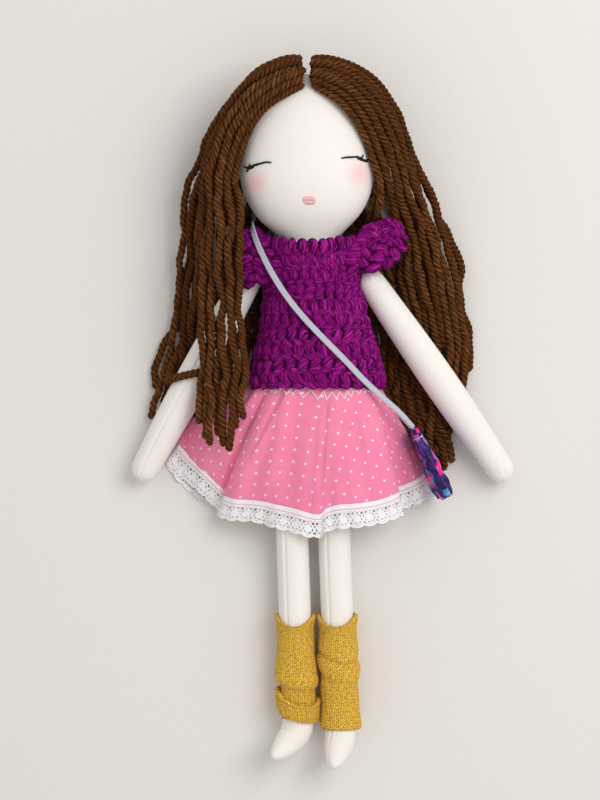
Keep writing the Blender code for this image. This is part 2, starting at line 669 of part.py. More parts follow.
def make_tab(name, side):
    """The arm's flat sewn end, a disc that turns against the torso's side seam."""
    bm = bmesh.new()
    turn = Matrix.Rotation(math.pi / 2, 4, "Y")
    bmesh.ops.create_cone(
        bm, cap_ends=True, segments=LIMB_COLUMNS, radius1=TAB_RADIUS, radius2=TAB_RADIUS, depth=TAB_THICKNESS, matrix=turn
    )
    tab = finish(bm, name, COTTON)
    pivot = shoulder_pivot(side)
    inward = ARM_SHOULDER_RADIUS + GAP + TAB_THICKNESS / 2
    tab.location = pivot - Vector((side * inward, 0, 0))


def make_arm(name, side):
    """A stuffed arm along its own -Y, with its round end centred on the shoulder's pivot."""
    rings = []
    for k in range(1, ROUND_END_RINGS + 1):
        turn = math.pi / 2 * k / (ROUND_END_RINGS + 1)
        radius = ARM_SHOULDER_RADIUS * math.sin(turn)
        y = ARM_SHOULDER_RADIUS * math.cos(turn)
        rings.append([Vector((a, y, b)) for a, b in oval(radius, radius, LIMB_COLUMNS)])
    last = ARM_SHARES[-1][0]
    for share in shares(0, last, ARM_RINGS):
        growth = smooth(ARM_SHARES, share)[0]
        radius = growth * ARM_RADIUS + (1 - share / last) * (ARM_SHOULDER_RADIUS - SHOULDER_SHARE_OF_ARM * ARM_RADIUS)
        rings.append([Vector((a, -share * ARM_LENGTH, b)) for a, b in oval(radius, radius, LIMB_COLUMNS)])
    end_radius, end = ARM_SHARES[-1][1] * ARM_RADIUS, (1 - last) * ARM_LENGTH
    for k in range(1, ROUND_END_RINGS + 1):
        turn = math.pi / 2 * k / (ROUND_END_RINGS + 1)
        radius, y = end_radius * math.cos(turn), -last * ARM_LENGTH - end * math.sin(turn)
        rings.append([Vector((a, y, b)) for a, b in oval(radius, radius, LIMB_COLUMNS)])
    arm = loft(name, rings, COTTON, start=(0, ARM_SHOULDER_RADIUS, 0), end=(0, -ARM_LENGTH, 0))
    splay = Matrix.Rotation(side * math.radians(ARM_SPLAY_DEG[side]), 4, "Z")
    drop = Matrix.Rotation(ARM_TILT, 4, "X")
    arm.matrix_world = Matrix.Translation(shoulder_pivot(side)) @ splay @ drop


# Legs, feet and leg warmers

WARMER_BORE = LEG_RADIUS + GAP
WARMER_RADIUS = WARMER_BORE + WARMER_WALL
WARMER_START = LEG_LENGTH + WARMER_OVERHANG - WARMER_LENGTH
LEG_TILT = math.asin((HIP_Z - WARMER_RADIUS) / (WARMER_START + WARMER_LENGTH))
LEG_RINGS = 8
ANKLE_SHARES = ((0.0, 1.0), (0.55, 1.0), (0.85, 0.985), (1.0, 0.94))


def hip_pivot(side):
    return Vector((HIP_X + side * LEG_SPACING / 2, HIP_Y, HIP_Z))


def leg_frame(side):
    drift = Matrix.Rotation(math.radians(LEG_DRIFT_DEG), 4, "Z")
    drop = Matrix.Rotation(LEG_TILT, 4, "X")
    return Matrix.Translation(hip_pivot(side)) @ drift @ drop


def make_leg(name, side):
    """A stuffed leg along its own -Y, round at the hip, with a pointed foot that turns up out of the floor."""
    rings = []
    for k in range(1, ROUND_END_RINGS + 1):
        turn = math.pi / 2 * k / (ROUND_END_RINGS + 1)
        radius, y = LEG_RADIUS * math.sin(turn), LEG_RADIUS * math.cos(turn)
        rings.append([Vector((a, y, b)) for a, b in oval(radius, radius, LIMB_COLUMNS)])
    for share in shares(0, 1, LEG_RINGS)[:-1]:
        radius = LEG_RADIUS * smooth(ANKLE_SHARES, share)[0]
        rings.append([Vector((a, -share * LEG_LENGTH, b)) for a, b in oval(radius, radius, LIMB_COLUMNS)])
    roll = Matrix.Rotation(-math.radians(LEG_ROLL_DEG[side]), 3, "Y")
    for ahead, rise, across, up, slant in FOOT_SHARES:
        middle = Vector((0, -LEG_LENGTH - ahead * FOOT_AHEAD[side], rise * FOOT_RISE[side]))
        lean = Matrix.Rotation(-math.radians(slant), 3, "X")
        ring = oval(across * LEG_RADIUS, up * LEG_RADIUS, LIMB_COLUMNS)
        rings.append([roll @ (middle + lean @ Vector((a, 0, b))) for a, b in ring])
    toe = roll @ Vector((0, -LEG_LENGTH - FOOT_AHEAD[side], FOOT_RISE[side]))
    leg = loft(name, rings, COTTON, start=(0, LEG_RADIUS, 0), end=toe)
    leg.matrix_world = leg_frame(side)


def make_warmer(name, side):
    """A knitted tube round the lower leg, slouched into soft folds, with a thicker cuff at its foot."""
    outer, inner = [], []
    for share in shares(0, 1, WARMER_STATIONS):
        fold = math.sin(2 * math.pi * WARMER_FOLDS * share + side)
        radius = WARMER_RADIUS + WARMER_SLOUCH * 0.5 * (fold - 1) * (0.4 + 0.6 * share)
        y = -WARMER_START - share * WARMER_LENGTH
        outer.append([Vector((a, y, b)) for a, b in oval(radius, radius, LIMB_COLUMNS)])
        inner.append([Vector((a, y, b)) for a, b in oval(WARMER_BORE, WARMER_BORE, LIMB_COLUMNS)])
    warmer = sleeve(name, outer, inner, MUSTARD)
    warmer.matrix_world = leg_frame(side)


# Skirt, its elastic and its lace

WAIST_EASE = GAP + ELASTIC_WALL + GAP
HEM_Z = FLOOR_CLEARANCE
COLLAR_Y = NECK_Y + COLLAR_RISE
HEM_Y = COLLAR_Y - TOP_LENGTH
SKIRT_TOP_Y = HEM_Y + SKIRT_TUCK


def waist_section(y, grow):
    x, z, half_x, half_z = torso_section(y)
    return x, z, half_x + grow, half_z + grow


def make_elastic():
    outer, inner = [], []
    for y in (SKIRT_TOP_Y, SKIRT_TOP_Y - ELASTIC_WIDTH / 2, SKIRT_TOP_Y - ELASTIC_WIDTH):
        for rows, grow in ((inner, GAP), (outer, GAP + ELASTIC_WALL)):
            x, z, half_x, half_z = waist_section(y, grow)
            rows.append([Vector((x + a, y, z + b)) for a, b in oval(half_x, half_z, TORSO_COLUMNS)])
    sleeve("waist_elastic", outer, inner, LACE_WHITE)


WAIST_END_SHARE = 0.10
SKIRT_RING_SHARES = (0.0, WAIST_END_SHARE, 0.17, 0.25, 0.34, 0.46, 0.60, 0.80, 1.0)


def skirt_places(shares_of_size):
    across, down, up = shares_of_size
    return Vector((across * SKIRT_HALF_SPREAD, SKIRT_TOP_Y - down * SKIRT_LENGTH, up * SKIRT_HEM_HEIGHT))


def skirt_ring(down, wall, beyond=0.0):
    """The skirt's outline a share of the way down its length, or beyond its hem, drawn in by wall."""
    y = SKIRT_TOP_Y - min(down, WAIST_END_SHARE) * SKIRT_LENGTH
    x, z, half_x, half_z = waist_section(y, WAIST_EASE + SKIRT_WALL)
    half_x += SKIRT_SIDE_EASE
    t = max(0.0, (down - WAIST_END_SHARE) / (1 - WAIST_END_SHARE))
    count = len(SKIRT_COLUMN_SHARES)
    first = SKIRT_COLUMN_SHARES[0]
    rows = [(k, *row) for k, row in enumerate(SKIRT_COLUMN_SHARES)] + [(count, first[0] - 360, *first[1:])]
    ring = []
    for k in range(SKIRT_COLUMNS):
        column = smooth(rows, k * count / SKIRT_COLUMNS)
        turn = math.radians(column[0])
        waist = Vector((x + half_x * math.cos(turn), y, z + half_z * math.sin(turn)))
        middle, hem = skirt_places(column[1:4]), skirt_places(column[4:7])
        point = waist * (1 - t) * (1 - 2 * t) + middle * 4 * t * (1 - t) + hem * t * (2 * t - 1)
        point += (hem - middle).normalized() * beyond
        in_front = 0 < column[0] < 180
        point.z = max(point.z, HEM_Z + (2 * SKIRT_WALL + GAP if in_front else 0))
        ring.append(point)
    drawn_in = []
    for before, point, after in zip(ring[-1:] + ring[:-1], ring, ring[1:] + ring[:1]):
        along = after - before
        drawn_in.append(point + Vector((along.z, 0, -along.x)).normalized() * wall)
    return drawn_in


def make_skirt():
    rings = SKIRT_RING_SHARES
    sleeve("skirt", [skirt_ring(p, 0) for p in rings], [skirt_ring(p, SKIRT_WALL) for p in rings], SKIRT_PINK)
    outer = [skirt_ring(1, 0, beyond) for beyond in (LACE_GAP, LACE_WIDTH)]
    inner = [skirt_ring(1, SKIRT_WALL, beyond) for beyond in (LACE_GAP, LACE_WIDTH)]
    sleeve("lace_trim", outer, inner, LACE_WHITE)


# Crochet top and its cap sleeves

TOP_COLUMNS = 28
# down the top: share of its length, share of the collar's clearance, share of the hem's ease
TOP_SHARES = (
    (0.0, 1.0, 0.0),
    (0.06, 0.85, 0.0),
    (0.14, 0.25, 0.0),
    (0.22, 0.0, 0.0),
    (0.60, 0.0, 0.0),
    (0.78, 0.0, 0.6),
    (0.88, 0.0, 1.0),
    (1.0, 0.0, 1.0),
)
TOP_RING_SHARES = (0.0, 0.04, 0.09, 0.14, 0.20, 0.28, 0.38, 0.50, 0.62, 0.72, 0.80, 0.88, 1.0)


def top_section(share, grow):
    """The crochet top's bore at a share of its length, from the collar down, grown by grow."""
    y = COLLAR_Y - share * TOP_LENGTH
    collar, hem = smooth(TOP_SHARES, share)
    x, z, half_x, half_z = torso_section(min(y, TORSO_TOP_Y - NECK_SEAT_DEPTH / 2))
    seat = TOP_CLEARANCE + hem * (WAIST_EASE + SKIRT_WALL)
    half_x, half_z = half_x + seat + hem * HEM_EASE, half_z + seat
    round_neck = NECK_HALF_WIDTH + COLLAR_CLEARANCE_WIDTH, NECK_RADIUS + COLLAR_CLEARANCE_DEPTH
    x += (NECK_X - x) * collar
    z += (NECK_Z - z) * collar
    half_x += (round_neck[0] - half_x) * collar
    half_z += (round_neck[1] - half_z) * collar
    return y, x, z, half_x + grow, half_z + grow


def make_top():
    outer, inner = [], []
    for share in TOP_RING_SHARES:
        for rows, grow in ((inner, 0), (outer, TOP_WALL)):
            y, x, z, half_x, half_z = top_section(share, grow)
            rise = COLLAR_SIDE_RISE * smooth(TOP_SHARES, share)[0]
            places = oval(half_x, half_z, TOP_COLUMNS)
            rows.append([Vector((x + a, y + rise * (a / half_x) ** 2, z + b)) for a, b in places])
    top = sleeve("crochet_top", outer, inner, YARN_PURPLE)
    spread = 2 * SKIRT_HALF_SPREAD
    cut(top, box("floor_cut", (-spread, -spread, -OVERRUN), (spread, spread, 0)))
    for side in (RIGHT, LEFT):
        bm = bmesh.new()
        radius = ARM_SHOULDER_RADIUS + ARMHOLE_CLEARANCE
        bmesh.ops.create_cone(
            bm, cap_ends=True, segments=LIMB_COLUMNS, radius1=radius, radius2=radius, depth=2 * OVERRUN,
            matrix=Matrix.Rotation(math.pi / 2, 4, "Y"),
        )
        hole = finish(bm, "armhole_cut", COTTON)
        hole.location = shoulder_pivot(side)
        hole.rotation_euler = (math.pi / LIMB_COLUMNS, 0, 0)
        cut(top, hole)
    cut(top, make_strap("strap_groove", GAP, STRAP_GROOVE_OPENING))


def beside_top(y, z, side):
    """How far out a piece starts that is sewn to the crochet top's side, at a height y and a depth z."""
    share = min(1.0, max(0.0, (COLLAR_Y - y) / TOP_LENGTH))
    _, x, middle_z, half_x, half_z = top_section(share, TOP_WALL + CAP_CLEARANCE)
    return x + side * half_x * math.sqrt(max(0.0, 1 - ((z - middle_z) / half_z) ** 2))


def make_cap(name, side):
    """A flared sheet of crochet that stands out over the arm's round end, from the top's side."""
    outer, inner = [], []
    for degrees in shares(CAP_REACH_SHARES[0][0], CAP_REACH_SHARES[-1][0], CAP_ROWS):
        turn = math.radians(degrees)
        reach = CAP_REACH * smooth(CAP_REACH_SHARES, degrees)[0]
        out_row, in_row = [], []
        for column in shares(0, 1, CAP_COLUMNS):
            for row, wall in ((out_row, 0), (in_row, CAP_WALL)):
                y = COLLAR_Y - CAP_DROP + CAP_LIFT[side] * column + (CAP_HALF_HEIGHT - wall) * math.sin(turn)
                z = CAP_AXIS_Z + (CAP_HALF_DEPTH - CAP_DROOP * column - wall) * math.cos(turn)
                start = beside_top(y, z, side)
                end = beside_top(y, CAP_AXIS_Z, side) + side * reach
                row.append(Vector((start + (end - start) * column, y, z)))
        outer.append(out_row)
        inner.append(in_row)
    sheet(name, outer, inner, YARN_PURPLE)


# Bag and its strap

STRAP_GROOVE_OPENING = OVERRUN / 4
BAG_COLUMNS = 20
BAG_RINGS = 9
BAG_PINCH = 0.55
# down the bag: share of its length, share of its width, share of its thickness
BAG_SHARES = ((0.0, 1.0, 0.55), (0.08, 0.99, 0.80), (0.5, 1.0, 1.0), (0.9, 0.99, 0.80), (1.0, 0.97, 0.30))


def make_strap(name, spare=0, outward=0):
    """A flat cord along its route; as a cutter it is grown by spare, and by outward away from the body."""
    points = [Vector(p) * MM for p in STRAP_ROUTE]
    half_width, half_thickness = STRAP_WIDTH / 2 + spare, STRAP_THICKNESS / 2 + spare
    rings = []
    for share in shares(0, 1, STRAP_STATIONS):
        middle = flowing(points, share)
        along = (flowing(points, min(1, share + 0.01)) - flowing(points, max(0, share - 0.01))).normalized()
        away = middle - Vector((0, min(middle.y, TORSO_TOP_Y), TORSO_AXIS_Z))
        across = along.cross(away).normalized()
        out = across.cross(along).normalized()
        low, high = -half_thickness, half_thickness + outward
        corners = ((-half_width, low), (half_width, low), (half_width, high), (-half_width, high))
        rings.append([middle + across * a + out * b for a, b in corners])
    return loft(name, rings, STRAP_GREY)


def make_bag():
    """A small flat pouch on edge, plump in its middle and flat at its seams."""
    rings = []
    for share in shares(0, 1, BAG_RINGS):
        width, plump = smooth(BAG_SHARES, share)
        half_z, half_x = width * BAG_WIDTH / 2, plump * BAG_THICKNESS / 2
        rings.append([Vector((a, -share * BAG_LENGTH, b)) for a, b in oval(half_x, half_z, BAG_COLUMNS, pinch=BAG_PINCH)])
    bag = loft("bag_pouch", rings, BAG_NAVY)
    bag.location = (*BAG_HANG, BAG_LOW_Z + BAG_WIDTH / 2)
    bag.rotation_euler = (0, 0, math.radians(BAG_SPLAY_DEG))


def build():
    for old in list(bpy.data.objects):
        bpy.data.objects.remove(old)
    make_torso()
    make_head()
    make_mouth()
    make_parting_seam()
    for side, word in ((RIGHT, "right"), (LEFT, "left")):
        make_eye(f"eye_{word}", side)
        make_hair(f"hair_front_{word}", "front", side, HAIR_FRONT_STRANDS, HAIR_FRONT_THICKNESS, HAIR_BULGE)
        make_hair(f"hair_back_{word}", "back", side, HAIR_BACK_STRANDS, HAIR_BACK_THICKNESS, 0)
        make_tab(f"shoulder_tab_{word}", side)
        make_arm(f"arm_{word}", side)
        make_leg(f"leg_{word}", side)
        make_warmer(f"leg_warmer_{word}", side)
        make_cap(f"sleeve_cap_{word}", side)
    make_top()
    make_elastic()
    make_skirt()
    make_strap("bag_strap")
    make_bag()


build()
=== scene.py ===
"""A sewn rag doll with yarn hair, crochet top, dotted skirt, knitted leg warmers and a shoulder bag."""

import math

import bmesh
import bpy
import numpy as np
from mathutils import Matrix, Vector
from mathutils.bvhtree import BVHTree
from mathutils.kdtree import KDTree


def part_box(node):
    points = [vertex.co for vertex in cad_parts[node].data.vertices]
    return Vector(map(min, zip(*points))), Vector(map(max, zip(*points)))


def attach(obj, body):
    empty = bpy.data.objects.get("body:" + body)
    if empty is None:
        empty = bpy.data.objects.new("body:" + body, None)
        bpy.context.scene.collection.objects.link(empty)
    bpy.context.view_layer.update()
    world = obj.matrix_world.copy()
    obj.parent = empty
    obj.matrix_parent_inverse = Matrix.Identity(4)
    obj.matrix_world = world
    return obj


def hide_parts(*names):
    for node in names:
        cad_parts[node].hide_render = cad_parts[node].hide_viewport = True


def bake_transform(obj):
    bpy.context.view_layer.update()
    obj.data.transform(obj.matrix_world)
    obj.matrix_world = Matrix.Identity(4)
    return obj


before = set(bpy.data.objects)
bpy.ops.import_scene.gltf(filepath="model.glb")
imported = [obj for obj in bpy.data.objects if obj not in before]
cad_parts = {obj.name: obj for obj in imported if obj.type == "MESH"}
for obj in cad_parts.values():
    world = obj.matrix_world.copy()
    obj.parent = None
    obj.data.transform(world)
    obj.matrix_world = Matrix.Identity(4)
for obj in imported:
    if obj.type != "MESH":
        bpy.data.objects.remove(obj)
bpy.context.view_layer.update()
RIGHT, LEFT = -1, 1


# Camera, floor and light
# The doll lies on a pale floor and is photographed from straight above, in soft light from the upper right.

CAMERA_HEIGHT = 1.6
PICTURE_PLANE = 0.030
PIXEL = 0.00063
PICTURE_CENTRE = (-0.0088, -0.0378)
PICTURE_WIDTH, PICTURE_HEIGHT = 600, 800
SENSOR_HEIGHT = 24


def seen(px, py, z):
    """The point at a height z that the camera sees at a pixel of the 600 by 800 picture."""
    scale = PIXEL * (CAMERA_HEIGHT - z) / (CAMERA_HEIGHT - PICTURE_PLANE)
    across, down = px - PICTURE_WIDTH / 2, py - PICTURE_HEIGHT / 2
    return PICTURE_CENTRE[0] + across * scale, PICTURE_CENTRE[1] - down * scale, z


bpy.ops.object.camera_add(location=(*PICTURE_CENTRE, CAMERA_HEIGHT), rotation=(0, 0, 0))
camera = bpy.context.object
camera.data.sensor_fit = "VERTICAL"
camera.data.sensor_height = SENSOR_HEIGHT
camera.data.lens = SENSOR_HEIGHT * (CAMERA_HEIGHT - PICTURE_PLANE) / (PICTURE_HEIGHT * PIXEL)
camera.data.clip_start = 0.05
bpy.context.scene.camera = camera
bpy.context.scene.view_settings.view_transform = "Standard"


class Value:
    """A socket of a material's nodes that can be added, multiplied and compared like a number."""

    def __init__(self, finish, socket):
        self.finish, self.socket = finish, socket

    def maths(self, operation, *others):
        return self.finish.node("ShaderNodeMath", {"operation": operation}, dict(enumerate((self, *others))))

    def __add__(self, other):
        return self.maths("ADD", other)

    def __sub__(self, other):
        return self.maths("SUBTRACT", other)

    def __rsub__(self, other):
        return self.maths("MULTIPLY", -1) + other

    def __mul__(self, other):
        return self.maths("MULTIPLY", other)

    def __truediv__(self, other):
        return self.maths("DIVIDE", other)

    __radd__ = __add__
    __rmul__ = __mul__

    def ramp(self, low, high):
        """0 below low and 1 above high, with a smooth step between; high may be the smaller."""
        settings = {"interpolation_type": "SMOOTHSTEP"}
        values = {"Value": self, "From Min": low, "From Max": high}
        return self.finish.node("ShaderNodeMapRange", settings, values)

    def power(self, other):
        return self.maths("POWER", other)

    def wave(self):
        return self.maths("SINE")

    def size(self):
        return self.maths("ABSOLUTE")

    def wrapped(self, period):
        """The distance from the nearest multiple of a period."""
        return self.maths("PINGPONG", period / 2)


class Finish:
    """A material built up from its nodes."""

    def __init__(self, name, colour, roughness=0.9, **others):
        self.material = bpy.data.materials.new(name)
        self.material.use_nodes = True
        self.tree = self.material.node_tree
        self.shader = self.tree.nodes["Principled BSDF"]
        self.set({"Base Color": (*colour, 1), "Roughness": roughness, "Specular IOR Level": 0.25, **others})

    def set(self, values):
        for name, value in values.items():
            self.join(value, self.shader.inputs[name])

    def join(self, value, socket):
        if isinstance(value, Value):
            self.tree.links.new(value.socket, socket)
        else:
            socket.default_value = value

    def node(self, kind, settings, values, output=0):
        made = self.tree.nodes.new(kind)
        for name, value in settings.items():
            setattr(made, name, value)
        for name, value in values.items():
            self.join(value, made.inputs[name])
        return Value(self, made.outputs[output])

    def place(self, which="Object"):
        return self.node("ShaderNodeTexCoord", {}, {}, which)

    def parts(self, vector):
        split = self.tree.nodes.new("ShaderNodeSeparateXYZ")
        self.join(vector, split.inputs[0])
        return [Value(self, s) for s in split.outputs]

    def scaled(self, vector, by):
        return self.node("ShaderNodeVectorMath", {"operation": "MULTIPLY"}, {0: vector, 1: by})

    def noise(self, scale, detail=3.0, vector=None, roughness=0.5):
        values = {"Vector": vector or self.place(), "Scale": scale, "Detail": detail, "Roughness": roughness}
        return self.node("ShaderNodeTexNoise", {}, values)

    def combined(self, *parts):
        return self.node("ShaderNodeCombineXYZ", {}, dict(enumerate(parts)))

    def mix(self, amount, a, b):
        """Colour a where amount is 0 and colour b where it is 1."""
        a, b = [(*c, 1) if isinstance(c, tuple) and len(c) == 3 else c for c in (a, b)]
        return self.node("ShaderNodeMix", {"data_type": "RGBA"}, {0: amount, 6: a, 7: b}, 2)

    def bump(self, height, distance, strength=1.0):
        values = {"Height": height, "Distance": distance, "Strength": strength}
        self.set({"Normal": self.node("ShaderNodeBump", {}, values)})


bpy.ops.mesh.primitive_plane_add(size=6, location=(*PICTURE_CENTRE, -0.0004))
floor = bpy.context.object
floor.name = "floor"
paper = Finish("pale backdrop", (0.76, 0.73, 0.70), 0.95)
grain = paper.noise(900, 4)
paper.set({"Base Color": paper.mix(grain, (0.735, 0.705, 0.672), (0.785, 0.757, 0.728))})
paper.bump(grain, 0.0004, 0.5)
floor.data.materials.append(paper.material)


def soft_light(name, place, size, power):
    bpy.ops.object.light_add(type="AREA", location=place)
    lamp = bpy.context.object
    lamp.name = name
    lamp.data.shape = "SQUARE"
    lamp.data.size = size
    lamp.data.energy = power
    aim = Vector((*PICTURE_CENTRE, 0)) - lamp.location
    lamp.rotation_euler = aim.to_track_quat("-Z", "Y").to_euler()


soft_light("window", (0.80, 0.48, 1.45), 1.0, 15)
world = bpy.data.worlds.new("studio")
bpy.context.scene.world = world
world.use_nodes = True
world.node_tree.nodes["Background"].inputs["Color"].default_value = (1.0, 0.985, 0.97, 1)
world.node_tree.nodes["Background"].inputs["Strength"].default_value = 0.68


# Body, arms and legs
# Each is unbleached cotton, cut in two halves, sewn inside out, turned and stuffed firm, so a seam runs
# down each limb, drawn in by its stitches, with fine puckers along it.

COTTON = (0.885, 0.84, 0.795)
SEAM_WIDTH = 0.0008
SEAM_DEPTH = 0.0007
SEAM_PUCKER = 0.0022


def apply_modifier(piece, kind, **settings):
    bpy.ops.object.select_all(action="DESELECT")
    piece.select_set(True)
    bpy.context.view_layer.objects.active = piece
    modifier = piece.modifiers.new(kind, kind)
    for name, value in settings.items():
        setattr(modifier, name, value)
    bpy.ops.object.modifier_apply(modifier=modifier.name)


def smoothed(name, node, levels):
    """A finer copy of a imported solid, as a new piece."""
    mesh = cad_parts[node].data.copy()
    piece = bpy.data.objects.new(name, mesh)
    bpy.context.scene.collection.objects.link(piece)
    bm = bmesh.new()
    bm.from_mesh(mesh)
    bmesh.ops.remove_doubles(bm, verts=bm.verts, dist=0.00001)
    bmesh.ops.join_triangles(
        bm, faces=bm.faces, angle_face_threshold=math.radians(50), angle_shape_threshold=math.radians(60)
    )
    bm.to_mesh(mesh)
    bm.free()
    mesh.materials.clear()
    apply_modifier(piece, "SUBSURF", levels=levels, render_levels=levels)
    bpy.ops.object.shade_smooth()
    return piece


def points_and_normals(mesh):
    points, normals = np.empty((2, len(mesh.vertices) * 3))
    mesh.vertices.foreach_get("co", points)
    mesh.vertex_normals.foreach_get("vector", normals)
    return points.reshape(-1, 3), normals.reshape(-1, 3)


def draw_in_seam(piece, path, width=SEAM_WIDTH, depth=SEAM_DEPTH, pucker=SEAM_PUCKER):
    """Sinks the cloth along a line of stitches, a little deeper at each stitch."""
    points, normals = points_and_normals(piece.data)
    path = np.array(path, float)
    best, along = np.full(len(points), 9.0), np.zeros(len(points))
    done = 0.0
    for a, b in zip(path, path[1:]):
        span = b - a
        length = np.linalg.norm(span)
        t = np.clip((points - a) @ span / length**2, 0, 1)
        away = np.linalg.norm(points - a - t[:, None] * span, axis=1)
        nearer = away < best
        best[nearer] = away[nearer]
        along[nearer] = (done + t * length)[nearer]
        done += length
    groove = np.exp(-((best / width) ** 2)) * (0.8 + 0.2 * np.cos(2 * np.pi * along / pucker))
    lips = np.exp(-(((best - 2.2 * width) / (1.4 * width)) ** 2))
    lips *= 0.5 + 0.5 * np.cos(2 * np.pi * along / (2.7 * pucker))
    points -= normals * (groove * depth - lips * depth * 0.22)[:, None]
    piece.data.vertices.foreach_set("co", points.ravel())
    piece.data.update()


def cotton_finish(name, extra=None):
    cotton = Finish(name, COTTON, 0.92)
    place = cotton.place()
    threads_across = cotton.noise(1.0, 2, cotton.scaled(place, (3600, 420, 1200)))
    threads_along = cotton.noise(1.0, 2, cotton.scaled(place, (420, 3600, 1200)))
    weave = (threads_across + threads_along) * 0.5
    slubs = cotton.noise(160, 3, place)
    tone = cotton.mix(weave.ramp(0.35, 0.65), tuple(c * 0.955 for c in COTTON), COTTON)
    tone = cotton.mix((slubs.ramp(0.4, 0.75)) * 0.35, tone, (0.86, 0.79, 0.71))
    if extra:
        tone = extra(cotton, place, tone)
    cotton.set({"Base Color": tone, "Sheen Weight": 0.12, "Sheen Roughness": 0.5})
    cotton.bump(weave, 0.00018, 0.6)
    return cotton.material


cotton = cotton_finish("unbleached cotton")


def surface_point(piece_tree, px, py, above=0.0):
    """The point of a piece straight under a pixel of the picture, raised by above."""
    origin = Vector((*PICTURE_CENTRE, CAMERA_HEIGHT))
    towards = (Vector(seen(px, py, 0)) - origin).normalized()
    hit, normal, _, _ = piece_tree.ray_cast(origin, towards)
    if hit is None:
        hit, normal, _, _ = piece_tree.find_nearest(Vector(seen(px, py, PICTURE_PLANE)))
    return hit + normal * above


def tree_of(piece):
    bm = bmesh.new()
    bm.from_mesh(piece.data)
    tree = BVHTree.FromBMesh(bm)
    bm.free()
    return tree


def solid_tree(node):
    return tree_of(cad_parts[node])


def stuffed(name, node, body, seams, levels=3, material=cotton):
    piece = smoothed(name, node, levels)
    tree = tree_of(piece)
    for seam in seams:
        draw_in_seam(piece, [surface_point(tree, *pixel) for pixel in seam])
    piece.data.materials.append(material)
    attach(piece, body)
    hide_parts(node)
    return piece


stuffed("body", "torso", "torso", [], 2)
for word in ("right", "left"):
    tab = smoothed(f"sewn arm end {word}".replace(" ", "_"), f"shoulder_tab_{word}", 2)
    tab.data.materials.append(cotton)
    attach(tab, f"shoulder_{word}")
    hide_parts(f"shoulder_tab_{word}")
ARM_SEAMS = {
    "left": [[(374, 279), (400, 300), (428, 340), (452, 376), (478, 418), (498, 450), (510, 480)]],
    "right": [[(232, 300), (214, 330), (196, 365), (172, 408), (152, 446), (140, 474)]],
}
for word, seams in ARM_SEAMS.items():
    stuffed(f"stuffed_arm_{word}", f"arm_{word}", f"arm_{word}", seams)
LEG_SEAMS = {
    "right": [[(284.5, 500), (285.0, 560), (287.0, 615), (288.5, 660), (287, 706), (281, 722), (272, 742)]],
    "left": [[(326, 500), (327, 560), (329.5, 618), (331, 660), (333, 706), (331, 732), (329, 764)]],
}
for word, seams in LEG_SEAMS.items():
    stuffed(f"stuffed_leg_{word}", f"leg_{word}", f"leg_{word}", seams)


# Head
# A lightbulb of the same cotton, with blush rubbed into both cheeks. The face is sewn in thread: two closed
# lids with a few lashes, in black, and two small lips of pink satin stitch.

BLUSH = (((256.0, 183.5), 15.0), ((359.5, 173.5), 16.5))
BLUSH_PINK = (0.93, 0.47, 0.50)
LASH_WEIGHT = 1.2
LIPS_MIDDLE = (309.3, 200.2)
LIP_STITCHES = 15


def with_blush(finish, place, tone):
    x, y, z = finish.parts(place)
    for (px, py), radius in BLUSH:
        cx, cy, _ = seen(px, py, 0.052)
        dx, dy = x - cx, y - cy
        away = (dx * dx + dy * dy).power(0.5)
        rub = away.ramp(radius * PIXEL * 1.15, 0.0) * z.ramp(0.035, 0.045) * 0.62
        tone = finish.mix(rub, tone, BLUSH_PINK)
    return tone


head = stuffed("stuffed_head", "head", "head", [], 3, cotton_finish("cotton with blush", with_blush))
face = tree_of(head)


def frames_along(path):
    """Tangents, and two directions across, carried along a path without twist."""
    path = np.array(path, float)
    tangents = np.gradient(path, axis=0)
    tangents /= np.linalg.norm(tangents, axis=1)[:, None]
    side = np.cross(tangents[0], (0.13, 0.21, 0.97))
    side /= np.linalg.norm(side)
    sides = []
    for tangent in tangents:
        side = side - tangent * (side @ tangent)
        side = side / np.linalg.norm(side)
        sides.append(side)
    sides = np.array(sides)
    return path, tangents, sides, np.cross(tangents, sides)


